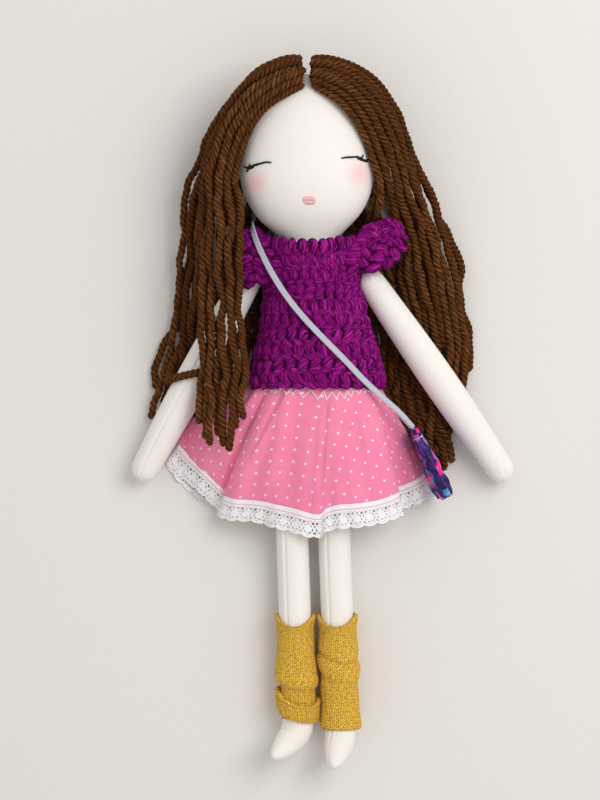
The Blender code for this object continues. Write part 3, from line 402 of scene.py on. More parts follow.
class Surface:
    """Collects sheets and tubes of points, and makes them one mesh with a UV map."""

    def __init__(self):
        self.points, self.faces, self.places, self.count, self.slots, self.painted_light_shares = [], [], [], 0, [], []

    def add(self, rows, uv, closed=False, ends=False, slot=0, depth=1.0):
        """Rows of points as a sheet, or as a tube where closed; uv has one column more than a tube has. depth
        is the painted light of each point: 1 where fully lit, lower where painted shade darkens it.
        """
        rows, uv = np.asarray(rows, float), np.asarray(uv, float)
        n, m = rows.shape[:2]
        i, j = np.meshgrid(np.arange(n - 1), np.arange(m if closed else m - 1), indexing="ij")
        i, j = i.ravel(), j.ravel()
        k = (j + 1) % m
        quads = np.stack([i * m + j, i * m + k, (i + 1) * m + k, (i + 1) * m + j], 1) + self.count
        corners = np.stack([uv[i, j], uv[i, j + 1], uv[i + 1, j + 1], uv[i + 1, j]], 1)
        self.faces += quads.tolist()
        self.places.append(corners.reshape(-1, 2))
        if ends:
            self.faces.append((np.arange(m)[::-1] + self.count).tolist())
            self.faces.append((np.arange(m) + (n - 1) * m + self.count).tolist())
            self.places += [uv[0, :m][::-1], uv[-1, :m]]
        self.slots += [slot] * (len(quads) + (2 if ends else 0))
        self.points.append(rows.reshape(-1, 3))
        self.painted_light_shares.append(np.broadcast_to(depth, (n, m)).ravel())
        self.count += n * m

    def make(self, name, *materials):
        mesh = bpy.data.meshes.new(name)
        mesh.from_pydata(np.concatenate(self.points).tolist(), [], self.faces)
        mesh.uv_layers.new(name="UVMap").data.foreach_set("uv", np.concatenate(self.places).ravel())
        for material in materials:
            mesh.materials.append(material)
        mesh.polygons.foreach_set("material_index", self.slots)
        # the depth attribute carries the painted light of each point to the wool's colour
        depth = np.concatenate(self.painted_light_shares).astype(np.float32)
        mesh.attributes.new("depth", "FLOAT", "POINT").data.foreach_set("value", depth)
        mesh.shade_smooth()
        mesh.update()
        piece = bpy.data.objects.new(name, mesh)
        bpy.context.scene.collection.objects.link(piece)
        return piece


def thread(surface, path, radius, sides=8, slot=0):
    path, _, a, b = frames_along(path)
    turn = np.linspace(0, 2 * np.pi, sides, endpoint=False)
    taper = np.broadcast_to(radius, len(path))[:, None, None]
    ring = a[:, None] * np.cos(turn)[None, :, None] + b[:, None] * np.sin(turn)[None, :, None]
    rows = path[:, None] - taper * ring
    u, v = np.meshgrid(lengths_along(path), np.linspace(0, 1, sides + 1), indexing="ij")
    surface.add(rows, np.stack([u, v], 2), closed=True, ends=True, slot=slot)


def spline(a, b, c, d, u):
    return 0.5 * (2 * b + (c - a) * u + (2 * a - 5 * b + 4 * c - d) * u**2 + (3 * b - a - 3 * c + d) * u**3)


def lengths_along(path):
    return np.concatenate([[0], np.cumsum(np.linalg.norm(np.diff(path, axis=0), axis=1))])


def evenly(path, count):
    """The same path, as count points an even way along it."""
    length = lengths_along(path)
    even = np.linspace(0, length[-1], count)
    return np.stack([np.interp(even, length, path[:, k]) for k in range(3)], 1)


def curve_through(points, count):
    """A smooth curve through points, as count points an even way along it."""
    points = np.array([tuple(p) for p in points], float)
    padded = np.concatenate([[2 * points[0] - points[1]], points, [2 * points[-1] - points[-2]]])
    fine = []
    for k in range(len(points) - 1):
        a, b, c, d = padded[k:k + 4]
        for u in np.linspace(0, 1, 12, endpoint=False):
            fine.append(spline(a, b, c, d, u))
    return evenly(np.array(fine + [points[-1]]), count)


black_thread = Finish("black thread", (0.012, 0.011, 0.012), 0.55)
strands = black_thread.place("UV")
lay = black_thread.noise(1.0, 2, black_thread.scaled(strands, (900, 9, 1)))
black_thread.bump(lay, 0.0002, 0.8)

EYE_STITCHES = {
    "eye_right": [
        ([(271.5, 162.6), (266, 162.2), (259, 164.2), (253.5, 166.4)], 0.00052),
        ([(259, 163.6), (254, 165.6), (249.5, 168.6), (247.2, 171.8)], 0.00062),
        ([(256, 165.4), (251, 166.6), (247, 168.4)], 0.00060),
        ([(254, 167.6), (250, 168.6), (246, 167.4), (244.4, 166.2)], 0.00046),
        ([(252.5, 167), (250.3, 165.4), (249.4, 163.9)], 0.00044),
    ],
    "eye_left": [
        ([(341, 158.2), (346, 157.4), (352, 157.2), (358, 156.4)], 0.00054),
        ([(355, 156.8), (360, 158.4), (364, 160.8), (367.2, 161.6)], 0.00066),
        ([(357, 158.2), (362, 160.2), (366, 160.4)], 0.00062),
        ([(365.2, 161.2), (368.4, 158.8), (370.4, 155.6)], 0.00046),
        ([(360, 158.0), (362.2, 156.6), (362.8, 154.6)], 0.00044),
    ],
}
for node, stitches in EYE_STITCHES.items():
    surface = Surface()
    for pixels, radius in stitches:
        path = curve_through([surface_point(face, *p, radius * 0.8) for p in pixels], 24)
        taper = radius * LASH_WEIGHT * (0.55 + 0.45 * np.sin(np.linspace(0, np.pi, 24)) ** 0.5)
        thread(surface, path, taper)
    eye = surface.make(f"sewn_{node}", black_thread.material)
    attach(eye, "head")
    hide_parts(node)

pink_thread = Finish("pink satin stitch", (0.83, 0.33, 0.37), 0.5)
satin = pink_thread.mix(pink_thread.noise(1800, 2), (0.80, 0.36, 0.40), (0.94, 0.66, 0.67))
pink_thread.set({"Base Color": satin})
surface = Surface()
px, py = LIPS_MIDDLE
for k in range(LIP_STITCHES):
    across = -1 + 2 * k / (LIP_STITCHES - 1)
    half = 0.6 + 3.1 * math.sqrt(1 - 0.97 * across * across) * (1 - 0.22 * (1 - abs(across)) ** 3)
    for side in (-1, 1):
        start = surface_point(face, px + 5.2 * across, py + side * 0.25, 0.00035)
        end = surface_point(face, px + 5.4 * across + 0.5 * side, py + side * (0.6 + half), 0.00020)
        middle = (start + end) / 2 + Vector((0, 0, 0.0005))
        thread(surface, curve_through([start, middle, end], 9), 0.00034, 6)
lips = surface.make("sewn_mouth", pink_thread.material)
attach(lips, "head")
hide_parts("mouth")


# Hair
# Thick three-ply wool yarn, sewn down along a part over the crown and left to hang. The doll lies on the
# back bunches. In front, the bunch on its right lies over the arm, and the one on its left goes down behind
# the arm.

YARN_RADIUS = 0.00265
YARN_GAP = 0.0049
YARN_LAY = 0.0105
YARN_SIDES = 12
YARN_STEP = 0.0025
YARN_FINE_STEP = 0.0011
SETTLE_ROUNDS = 36
# length and size of each wave in which a strand wanders
WANDERS = ((0.047, 0.0009), (0.026, 0.0005), (0.015, 0.0003))

# each strand from the part line to its end: the pixel that it lies under, and its height in millimetres
FRONT_RIGHT_STRANDS = (
    ((303, 78.5, 56), (289, 84, 58), (270, 97, 59), (255, 115, 58), (244.5, 137, 56), (238, 160, 53),
     (235, 180, 51), (239, 205, 53), (241, 237, 59), (240, 262, 62), (237, 299, 57), (241, 326, 55),
     (243, 352, 53), (243, 379, 50), (240.5, 402, 49), (243.5, 420, 48)),
    ((302, 76, 57), (281, 87, 60), (262, 101, 61), (246, 122, 60), (234, 150, 57), (227, 180, 54),
     (230, 212, 55), (230, 240, 58), (229.5, 270, 61), (230, 299, 57), (233, 326, 55), (235, 352, 53),
     (236, 380, 50), (234, 412, 48), (227.5, 452, 46)),
    ((302, 73, 57), (279, 83, 61), (257, 97, 62), (239, 120, 61), (227, 146, 58), (219, 178, 55),
     (220, 212, 55), (220, 240, 56), (219, 268, 57), (222, 299, 54), (222, 326, 52), (225, 352, 50),
     (226, 380, 47), (224, 410, 46), (221.5, 447, 45)),
    ((302, 70, 56), (278, 78, 60), (252, 91, 61), (232, 114, 60), (219, 140, 57), (211, 172, 53),
     (210, 208, 51), (210, 240, 50), (209.5, 268, 50), (212, 299, 49), (212, 326, 48), (212, 352, 46),
     (211.5, 380, 44), (211, 412, 43), (209.5, 446, 43)),
    ((302, 71, 52), (277, 81, 55), (254, 98, 56), (236, 122, 55), (224, 150, 52), (214, 182, 48),
     (212, 214, 46), (206, 244, 46), (202.5, 270, 47), (204.5, 300, 46), (204.8, 339, 43), (203.5, 379, 39),
     (202.5, 424, 36)),
    ((303, 75, 52), (283, 89, 54), (262, 108, 55), (247, 132, 53), (238, 158, 49), (231, 186, 47),
     (235, 214, 50), (236, 244, 54), (235, 270, 56), (235, 300, 52), (230, 332, 50), (228.5, 364, 47),
     (232, 400, 45), (233, 430, 44)),
    ((302, 73, 52), (281, 85, 55), (258, 103, 56), (242, 127, 54), (231, 156, 51), (224, 186, 49),
     (225, 214, 50), (224, 244, 51), (225, 272, 52), (226, 300, 48), (217, 330, 46), (217, 364, 44),
     (218, 400, 42), (216, 436, 41)),
    ((302, 68, 52), (277, 76, 55), (248, 92, 55), (228, 118, 53), (216, 146, 50), (206, 180, 46),
     (203, 212, 43), (203, 244, 43), (208, 272, 45), (207, 305, 45), (207, 340, 42), (208, 376, 40),
     (206, 410, 38), (203, 440, 37)),
)
BACK_RIGHT_STRANDS = (
    ((303, 60.5, 47), (290, 59, 47), (275, 62.5, 47), (257, 72, 46), (236, 95, 43), (218, 119, 38),
     (208, 138, 35), (198, 162, 30), (188.5, 187, 26), (184, 210, 23), (183, 235, 20), (182, 262, 16),
     (179, 280, 13), (178, 300, 11), (176.5, 325, 9), (174.5, 348, 7), (166.5, 371, 7), (160, 388, 7),
     (155, 404, 6), (150, 419, 5)),
    ((302, 63, 50), (288, 62.5, 51), (272, 67, 51), (252, 79, 50), (232, 104, 46), (218, 130, 42),
     (207, 156, 37), (198, 182, 33), (192, 210, 28), (191, 237, 25), (191, 262, 20), (188, 285, 15),
     (186, 305, 11), (184, 330, 7), (180, 355, 5), (172, 380, 4), (163, 405, 4)),
    ((302, 66, 54), (286, 68, 56), (268, 74, 57), (247, 88, 55), (229, 110, 52), (217, 136, 48),
     (209, 162, 44), (203, 188, 40), (200, 214, 36), (200, 240, 32), (199, 265, 26), (196, 285, 19),
     (193, 305, 12), (190, 330, 6), (186, 352, 4), (178, 376, 3)),
    ((303, 62, 42), (284, 66, 42), (262, 80, 41), (240, 104, 38), (222, 134, 33), (206, 170, 27),
     (194, 206, 20), (190, 240, 14), (187, 275, 9), (184, 300, 6), (178, 325, 4), (165, 345, 4),
     (157, 360, 4), (154, 374, 4), (155.8, 389, 4)),
    ((303, 65, 46), (284, 71, 48), (262, 85, 48), (241, 110, 45), (225, 140, 40), (212, 174, 34),
     (202, 208, 27), (198, 240, 21), (197, 275, 14), (194, 300, 8), (190, 330, 4), (186, 365, 3),
     (184, 400, 3)),
    ((303, 64, 36), (282, 72, 36), (258, 88, 35), (234, 116, 30), (216, 150, 23), (203, 186, 15),
     (196, 222, 8), (195, 258, 5), (196, 292, 4), (196, 330, 3), (193, 372, 3), (190, 412, 3)),
    ((303, 69, 34), (281, 81, 33), (258, 100, 31), (237, 130, 26), (222, 164, 18), (211, 200, 10),
     (207, 236, 5), (207, 272, 4), (208, 310, 3), (204, 350, 3), (199, 390, 3), (195, 422, 3)),
    ((303, 75, 28), (281, 90, 27), (258, 112, 24), (241, 142, 18), (229, 176, 11), (221, 210, 6),
     (219, 246, 4), (221, 284, 3), (218, 324, 3), (211, 364, 3), (205, 402, 3)),
    ((303, 84, 22), (283, 100, 20), (264, 122, 16), (250, 152, 10), (241, 184, 6), (235, 218, 4),
     (232, 254, 3), (230, 292, 3), (226, 332, 3), (217, 372, 3), (211, 398, 3)),
    ((303, 95, 16), (286, 112, 14), (271, 134, 10), (261, 162, 6), (253, 194, 4), (247, 228, 3),
     (243, 262, 3), (236, 300, 3), (229, 340, 3), (222, 380, 3)),
    ((303, 106, 12), (291, 126, 9), (281, 148, 6), (272, 176, 4), (264, 206, 3), (256, 236, 3),
     (250, 262, 3), (240, 290, 3), (233, 318, 3), (226, 352, 3)),
    ((303, 112, 9), (292, 140, 5), (281, 176, 3), (268, 214, 3), (259, 250, 3), (253, 290, 3),
     (249, 330, 3), (244, 368, 3), (238, 398, 3)),
    ((303, 118, 8), (295, 150, 4), (287, 186, 3), (274, 222, 3), (262, 262, 3), (255, 300, 3),
     (256, 340, 3), (251, 372, 3)),
)
FRONT_LEFT_STRANDS = (
    ((311, 79.5, 56), (325, 86, 58), (340, 97.5, 59), (353, 113, 57), (364, 131, 54), (371.5, 150, 50),
     (377, 170, 47), (379.5, 190, 42), (378, 208, 34), (376, 224, 24), (380, 240, 12), (384, 262, 4),
     (388, 300, 3), (391, 340, 3), (396, 388, 3), (404, 420, 3), (415, 452, 3)),
    ((311, 77, 57), (327, 83, 60), (344, 94, 61), (358, 110, 59), (369, 128, 56), (378, 148, 52),
     (385, 168, 48), (390, 190, 42), (397, 212, 34), (404, 232, 27), (409, 247, 21), (409, 270, 14),
     (413, 296, 8), (419, 320, 4), (421, 350, 3), (420, 388, 3), (425, 414, 3), (429, 445, 3)),
    ((311, 74, 57), (329, 79, 61), (348, 89, 62), (364, 104, 60), (376, 122, 57), (386, 144, 53),
     (393, 168, 48), (399, 192, 42), (406, 216, 34), (413, 238, 27), (419, 262, 20), (424, 288, 13),
     (430, 312, 8), (436, 340, 4), (438, 375, 3), (437, 414, 3), (440, 446, 3), (443.5, 471, 3)),
    ((311, 71, 56), (331, 75, 60), (352, 84, 60), (370, 100, 57), (384, 120, 54), (394, 144, 50),
     (402, 168, 46), (410, 194, 40), (418, 220, 33), (426, 246, 26), (431, 270, 19), (437, 296, 12),
     (442, 322, 8), (446, 350, 5), (449, 385, 3), (452, 411, 3)),
    ((311, 76, 52), (328, 85, 54), (345, 97, 55), (360, 114, 53), (371, 134, 50), (380, 156, 46),
     (386, 178, 41), (389, 200, 34), (393, 222, 25), (398, 244, 16), (402, 268, 9), (403, 300, 5),
     (402, 340, 3), (405, 384, 3), (412, 418, 3), (424, 456, 3)),
    ((311, 72, 52), (331, 79, 55), (351, 91, 55), (367, 108, 53), (380, 130, 50), (389, 154, 45),
     (396, 180, 40), (402, 206, 33), (408, 230, 25), (414, 256, 17), (419, 280, 11), (424, 304, 6),
     (428, 336, 3), (429, 380, 3), (433, 424, 3), (436, 462, 3)),
    ((311, 78, 51), (325, 88, 53), (339, 101, 54), (352, 118, 52), (362, 137, 48), (369, 157, 45),
     (374, 176, 42), (375, 196, 36), (371, 214, 26), (369, 232, 15), (374, 256, 5), (380, 290, 3),
     (386, 330, 3), (388, 376, 3), (394, 414, 3)),
)
BACK_LEFT_STRANDS = (
    ((310, 60.5, 47), (325, 59, 48), (341, 62, 48), (358, 69, 46), (377, 83, 43), (391, 104, 39),
     (404, 132, 34), (414, 158, 30), (424, 182, 26), (434, 206, 22), (443, 230, 18), (449, 252, 14),
     (455, 280, 11), (459.5, 306, 9), (464, 333, 7), (463, 352, 6), (458, 378, 4), (452, 404, 3)),
    ((310, 64, 51), (327, 63.5, 53), (346, 68, 53), (365, 79, 51), (382, 97, 47), (395, 122, 42),
     (405, 150, 37), (414, 176, 32), (422, 202, 28), (431, 228, 23), (439, 252, 18), (445, 280, 14),
     (450, 306, 11), (455, 334, 8), (455, 360, 6), (450, 388, 4), (446, 425, 3), (444.5, 458, 3)),
    ((310, 67, 54), (329, 69, 57), (350, 76, 57), (369, 89, 54), (385, 109, 50), (397, 134, 45),
     (407, 162, 40), (416, 190, 35), (425, 216, 29), (433, 242, 23), (438, 268, 17), (443, 296, 12),
     (447, 322, 9), (449, 350, 6), (446, 384, 3), (441, 420, 3), (447, 463, 3)),
    ((310, 62, 42), (330, 64, 43), (352, 70, 42), (373, 84, 40), (390, 106, 36), (405, 136, 30),
     (416, 164, 24), (428, 192, 19), (440, 218, 14), (451, 240, 11), (459, 264, 8), (459, 285, 6),
     (460, 300, 6), (466, 322, 4), (467, 348, 4), (464, 372, 3)),
    ((310, 66, 46), (330, 72, 48), (352, 81, 47), (372, 97, 43), (388, 122, 38), (401, 150, 32),
     (411, 180, 26), (421, 210, 20), (430, 238, 14), (437, 266, 9), (445, 294, 6), (453, 324, 4),
     (456, 354, 3), (452, 396, 3), (449, 430, 3)),
    ((310, 64, 36), (331, 70, 36), (354, 82, 34), (376, 104, 29), (393, 134, 22), (406, 166, 15),
     (419, 200, 8), (429, 232, 5), (437, 264, 4), (444, 298, 3), (448, 336, 3), (444, 376, 3),
     (440, 420, 3), (436, 462, 3)),
    ((310, 69, 34), (332, 79, 33), (354, 94, 30), (373, 118, 24), (388, 150, 16), (401, 184, 8),
     (411, 218, 4), (420, 252, 3), (428, 290, 3), (431, 332, 3), (428, 376, 3), (426, 420, 3)),
    ((310, 75, 28), (331, 88, 27), (351, 106, 24), (367, 132, 18), (379, 162, 11), (389, 194, 6),
     (398, 226, 4), (407, 260, 3), (414, 298, 3), (416, 340, 3), (414, 384, 3), (420, 436, 3)),
    ((310, 84, 22), (329, 98, 20), (345, 118, 16), (358, 144, 10), (368, 174, 6), (376, 206, 4),
     (384, 238, 3), (394, 274, 3), (402, 314, 3), (402, 360, 3), (408, 402, 3), (414, 440, 3)),
    ((310, 95, 16), (325, 110, 14), (337, 132, 10), (347, 158, 6), (355, 188, 4), (362, 218, 3),
     (370, 250, 3), (380, 284, 3), (390, 320, 3), (394, 360, 3), (398, 396, 3)),
    ((310, 106, 12), (321, 124, 9), (330, 148, 6), (337, 176, 4), (343, 206, 3), (350, 236, 3),
     (357, 266, 3), (366, 300, 3), (378, 336, 3), (388, 372, 3)),
    ((310, 112, 9), (322, 140, 5), (336, 172, 3), (350, 200, 3), (360, 226, 3), (372, 256, 3),
     (384, 290, 3), (388, 322, 3)),
    ((310, 118, 8), (320, 150, 4), (330, 184, 3), (342, 212, 3), (353, 232, 3), (366, 262, 3)),
)
CROSSING_STRAND = (
    (184, 344, 5), (174, 366, 7), (169, 381, 15), (178, 378.5, 27), (190, 375, 31), (202, 372.5, 32),
    (213, 373.5, 35), (221, 380, 38),
)


def strand_path(places, number):
    """The curve of a strand, which also wanders a little, each strand in its own way."""
    points = [seen(px, py, z * 0.001) for px, py, z in places]
    rough = np.array(points)
    length = np.linalg.norm(np.diff(rough, axis=0), axis=1).sum()
    path = curve_through(points, max(8, round(length / YARN_STEP)))
    along = np.linspace(0, length, len(path))
    draw = np.random.default_rng(number)
    for wave, size in WANDERS:
        for axis, share in ((0, 1.0), (1, 0.35), (2, 0.5)):
            sway = np.sin(2 * np.pi * along / (wave * draw.uniform(0.8, 1.2)) + draw.uniform(0, 6.3))
            path[:, axis] += size * share * sway * np.clip(along / 0.10 - 0.2, 0, 1)
    return path


def settle(paths, obstacles, rounds):
    """Moves strands sideways until they lie beside each other, off what they lie on and above the floor."""
    start = np.concatenate(paths)
    number = np.concatenate([np.full(len(p), k) for k, p in enumerate(paths)])
    order = np.concatenate([np.arange(len(p)) for p in paths])
    loose = np.clip(order / 5.0, 0.15, 1.0)[:, None]
    inner = (order > 0) & np.append(number[1:] == number[:-1], False)
    move = np.zeros_like(start)
    for turn in range(rounds):
        now = start + move
        tree = KDTree(len(now))
        for k, point in enumerate(now):
            tree.insert(point, k)
        tree.balance()
        push = np.zeros_like(now)
        for k, point in enumerate(now):
            for other, j, away in tree.find_range(point, YARN_GAP):
                if number[j] != number[k]:
                    apart = point - now[j]
                    if away < 1e-6:
                        apart, away = np.array((0.0, 0.0, 1e-6 if k > j else -1e-6)), 1e-6
                    push[k] += apart / away * (YARN_GAP - away) * 0.42
        move += push * loose
        if turn % 3 == 2 or turn == rounds - 1:
            now = start + move
            for k, point in enumerate(now):
                for solid in obstacles:
                    near, normal, _, away = solid.find_nearest(Vector(point), 0.012)
                    if near is None:
                        continue
                    if (Vector(point) - near).dot(normal) < 0:
                        away = -away
                    if away < YARN_RADIUS:
                        point += np.array(normal) * (YARN_RADIUS - away)
            move = now - start
        spread = move.copy()
        spread[1:-1] = 0.25 * move[:-2] + 0.5 * move[1:-1] + 0.25 * move[2:]
        move = np.where(inner[:, None], spread, move) * 0.995
        move[:, 2] = np.maximum(move[:, 2], YARN_RADIUS + 0.0001 - start[:, 2])
    now = start + move
    return [now[number == k] for k in range(len(paths))]


def yarn(surface, path, number, lay, radius):
    """Three plies laid up together: a tube with three lobes, which turn along it."""
    length = np.linalg.norm(np.diff(path, axis=0), axis=1).sum()
    path, _, a, b = frames_along(curve_through(path, max(6, round(length / YARN_FINE_STEP))))
    along = np.linspace(0, length, len(path))
    around = np.linspace(0, 2 * np.pi, YARN_SIDES, endpoint=False)
    lobes = radius * (0.66 + 0.34 * np.abs(np.cos(1.5 * around)) ** 0.75)
    turn = around[None] - (2 * np.pi * along / lay)[:, None] + number
    end = np.minimum(along, length - along)
    taper = np.sqrt(np.clip(end / (0.7 * radius), 0.02, 1))[:, None, None]
    rows = path[:, None] - taper * lobes[None, :, None] * (
        a[:, None] * np.cos(turn)[..., None] + b[:, None] * np.sin(turn)[..., None]
    )
    u, v = np.meshgrid(along + number * 0.731, np.linspace(0, 1, YARN_SIDES + 1), indexing="ij")
    surface.add(rows, np.stack([u, v], 2), closed=True, ends=True)


def wool_finish(name, dark, middle, light, plies=3, fibres_round=34):
    wool = Finish(name, middle, 0.95)
    u, v, _ = wool.parts(wool.place("UV"))
    fibres = wool.noise(1.0, 3, wool.combined(u * 260, v * fibres_round, u * 3))
    groove = v.wrapped(1 / plies).ramp(0.225 / plies, 0.48 / plies)
    strand = wool.noise(1.0, 1, wool.combined(u * 9, 0.5, 0.2))
    tone = wool.mix(fibres.ramp(0.36, 0.66), dark, light)
    tone = wool.mix(strand.ramp(0.35, 0.65) * 0.6, tone, middle)
    # painted shade: the grooves between the plies are darkened towards a deeper tone of the dark wool
    tone = wool.mix(groove * 0.62, tone, tuple(c * 0.35 for c in dark))
    # painted light and shade: the depth attribute says how lit each point is painted, and the wool is
    # darkened towards deep shade where it is low
    open_to_light = wool.node("ShaderNodeAttribute", {"attribute_name": "depth"}, {}, 2)
    tone = wool.mix(open_to_light, tuple(c * 0.30 for c in dark), tone)
    wool.set({"Base Color": tone, "Sheen Weight": 0.05, "Sheen Tint": (*light, 1), "Specular IOR Level": 0.1})
    wool.bump(fibres, 0.0006, 0.9)
    return wool.material


brown_wool = wool_finish(
    "brown wool yarn", (0.016, 0.0042, 0.001), (0.076, 0.022, 0.004), (0.27, 0.098, 0.026)
)
HAIR = {
    "hair_front_right": FRONT_RIGHT_STRANDS,
    "hair_back_right": BACK_RIGHT_STRANDS,
    "hair_front_left": FRONT_LEFT_STRANDS,
    "hair_back_left": BACK_LEFT_STRANDS,
}
paths, owners = [], []
for node, strands in HAIR.items():
    for places in strands:
        paths.append(strand_path(places, len(paths)))
        owners.append(node)
paths.append(strand_path(CROSSING_STRAND, len(paths)))
owners.append("hair_back_right")
UNDER_HAIR = ("head", "crochet_top", "sleeve_cap_right", "sleeve_cap_left", "arm_right", "arm_left", "skirt")
under = [solid_tree(node) for node in UNDER_HAIR]
paths = settle(paths, under, SETTLE_ROUNDS)
for node in HAIR:
    surface = Surface()
    for k, path in enumerate(paths):
        if owners[k] == node:
            lay = YARN_LAY * (0.85 + 0.3 * (k * 0.618 % 1))
            yarn(surface, path, k, lay, YARN_RADIUS * (0.93 + 0.16 * (k * 0.382 % 1)))
    bunch = surface.make("yarn_" + node, brown_wool)
    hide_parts(node)
    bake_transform(bunch)
pale_thread = Finish("pale thread of the part", (0.62, 0.50, 0.38), 0.7)
stitch = (pale_thread.parts(pale_thread.place())[1] * (2 * math.pi / 0.0024)).wave()
pale_thread.set({"Base Color": pale_thread.mix(stitch.ramp(-1, 0), (0.30, 0.20, 0.12), (0.66, 0.54, 0.42))})
pale_thread.bump(stitch, 0.0004)
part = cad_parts["parting_seam"]
part.data.materials.clear()
part.data.materials.append(pale_thread.material)


# Crochet top and its sleeve caps
# One thick, loosely spun purple wool, crocheted in rounds from the collar down. Each stitch is a short fat
# loop that leans one way in one round and the other way in the next. The caps are four more rows, worked
# over the shoulders.

ROUND_STITCHES = 28
ROUND_LEANS = (0.40, 0.95, 0.60, -0.55, 0.70, 0.55, -0.60, 0.70, -0.50, 0.85)
CAP_STITCHES = 12
CAP_START = 0.085
CAP_END = 0.95
CAP_LEANS = (0.60, -0.60, 0.55, -0.45)
STITCH_STEPS = 14
STITCH_SIDES = 16
WOOL_PLIES = 6
WOOL_LAY = 0.026
LOOP_REACH = 0.32
BAR_LEANS = (-0.9, 0.8, -0.9, -0.8, 0.9, -0.8, 0.9, 0.8, -0.9, 0.8)
BAR_SCALE = 0.66
BAR_REACH = 0.13
LOOP_DEPTH = 0.0021
LOOP_SUNK = 0.0033
STITCH_WIDTH = 0.0032
STITCH_THICKNESS = 0.0023
CAP_AXIS = (0.050, 0.029)
CAP_HALF = (0.021, 0.0225)
CAP_DROOP = 0.004
# round the arm from the front of the armhole: degrees, then where the cap starts and ends, in millimetres
CAP_FORMS = {
    RIGHT: ((-52, -27.8, -40.5), (-25, -21.7, -52.6), (5, -22.6, -60.4), (45, -31.7, -60.3),
            (90, -34.9, -51.1), (135, -27.3, -59.2), (175, -17.8, -57.7), (205, -24.5, -49.4)),
    LEFT: ((-52, 26.5, 38.9), (-25, 19.7, 50.1), (5, 19.3, 57.8), (45, 27.7, 56.3), (90, 30.9, 47.1),
           (135, 23.3, 55.2), (175, 14.5, 55.1), (205, 22.4, 46.8)),
}
CAP_LIFTS = {RIGHT: -0.003, LEFT: 0.006}
STRAP_WIDTH = 0.0037
STRAP_THICKNESS = 0.0012
# from the bag over the front, round the neck and down the back to the bag, in millimetres
STRAP_ROUTE = (
    (62.55, -55.2, 36), (54.5, -46.5, 41), (42, -35.5, 46.5), (31, -25.5, 51), (19, -13, 55),
    (6.6, -0.6, 57.6), (-8, 15, 57.4), (-19.5, 30, 55.6), (-29, 46, 53.8), (-35.5, 60, 50.2),
    (-38.5, 69.6, 42), (-38.5, 72.6, 30), (-37.5, 69.6, 16), (-33, 60, 6.6), (-24, 44, 4.4), (-14, 30, 2.4),
    (-4, 19, 1.2), (8, 4.5, 1.2), (20, -9, 1.8), (31, -22.5, 3.4), (42, -34.5, 5.6), (54, -46, 8.5),
    (62.55, -55.2, 12),
)
strap_line = curve_through([Vector(p) * 0.001 for p in STRAP_ROUTE], 320)


class Fabric:
    """A patch of knitted or crocheted fabric: places on its outer face, and what is outwards there."""

    def __init__(self, grid, closed):
        self.grid, self.closed = np.asarray(grid, float), closed
        down = np.gradient(self.grid, axis=0)
        if closed:
            wide = np.concatenate([self.grid[:, -3:-1], self.grid, self.grid[:, 1:3]], axis=1)
            across = np.gradient(wide, axis=1)[:, 2:-2]
        else:
            across = np.gradient(self.grid, axis=1)
        self.out = np.cross(down, across)
        self.out /= np.linalg.norm(self.out, axis=2)[:, :, None] + 1e-12

    def at(self, u, v, rise):
        """Points at shares u along a row and v down the rows, raised by rise off the outer face."""
        rows, columns = self.grid.shape[:2]
        u = (u % 1.0 if self.closed else np.clip(u, 0, 1)) * (columns - 1)
        v = np.clip(v, 0, 1) * (rows - 1)
        i, j = np.minimum(v.astype(int), rows - 2), np.minimum(u.astype(int), columns - 2)
        a, b = (v - i)[..., None], (u - j)[..., None]
        found = []
        for field in (self.grid, self.out):
            upper = field[i, j] * (1 - b) + field[i, j + 1] * b
            lower = field[i + 1, j] * (1 - b) + field[i + 1, j + 1] * b
            found.append(upper * (1 - a) + lower * a)
        out = found[1] / (np.linalg.norm(found[1], axis=-1)[..., None] + 1e-12)
        return found[0] + out * np.asarray(rise)[..., None], out


def top_fabric():
    """The crochet top's outer face, read off its solid from the collar down, with the armholes closed."""
    solid, (low, high) = solid_tree("crochet_top"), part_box("crochet_top")
    turns = np.linspace(-math.pi, math.pi, 241)
    outwards = np.stack([np.sin(turns), turns * 0, np.cos(turns)], 1)
    grid = []
    for down in np.linspace(0, 1, 64):
        middle = np.array((-0.0018 + 0.0045 * down, 0, 0.0285))
        front = (np.cos(turns) > 0) * np.cos(turns) ** 2
        collar = 0.0034 * (np.sin(turns) ** 2 - 0.7 * front) * max(0, 1 - 5 * down)
        y = high[1] - 0.0033 + collar - down * (high[1] - low[1] - 0.004)
        places = middle + np.stack([turns * 0, y, turns * 0], 1)
        reach = np.zeros(len(turns))
        for k, (place, way) in enumerate(zip(places, outwards)):
            hit = solid.ray_cast(Vector(place + way * 0.12), Vector(-way))[0]
            reach[k] = (np.array(hit) - place) @ way if hit else 0
        wall = reach > 0.4 * reach.max()
        reach = np.interp(turns, turns[wall], reach[wall])
        grid.append(evenly(places + outwards * reach[:, None], 241))
    return Fabric(grid, True)


def cap_fabric(side):
    form = curve_through(CAP_FORMS[side], 200)
    grid = []
    for along in np.linspace(0, 1, 24):
        degrees = np.linspace(CAP_FORMS[side][0][0], CAP_FORMS[side][-1][0], 120)
        starts, ends = np.interp(degrees, form[:, 0], form[:, 1]), np.interp(degrees, form[:, 0], form[:, 2])
        turns = np.radians(degrees)
        x = (starts + (ends - starts) * along) * 0.001
        y = CAP_AXIS[0] + CAP_LIFTS[side] * along + CAP_HALF[0] * np.sin(turns)
        z = CAP_AXIS[1] + (CAP_HALF[1] - CAP_DROOP * along) * np.cos(turns)
        grid.append(evenly(np.stack([x, y, z], 1), 120))
    return Fabric(grid if side == LEFT else [row[::-1] for row in grid], False)


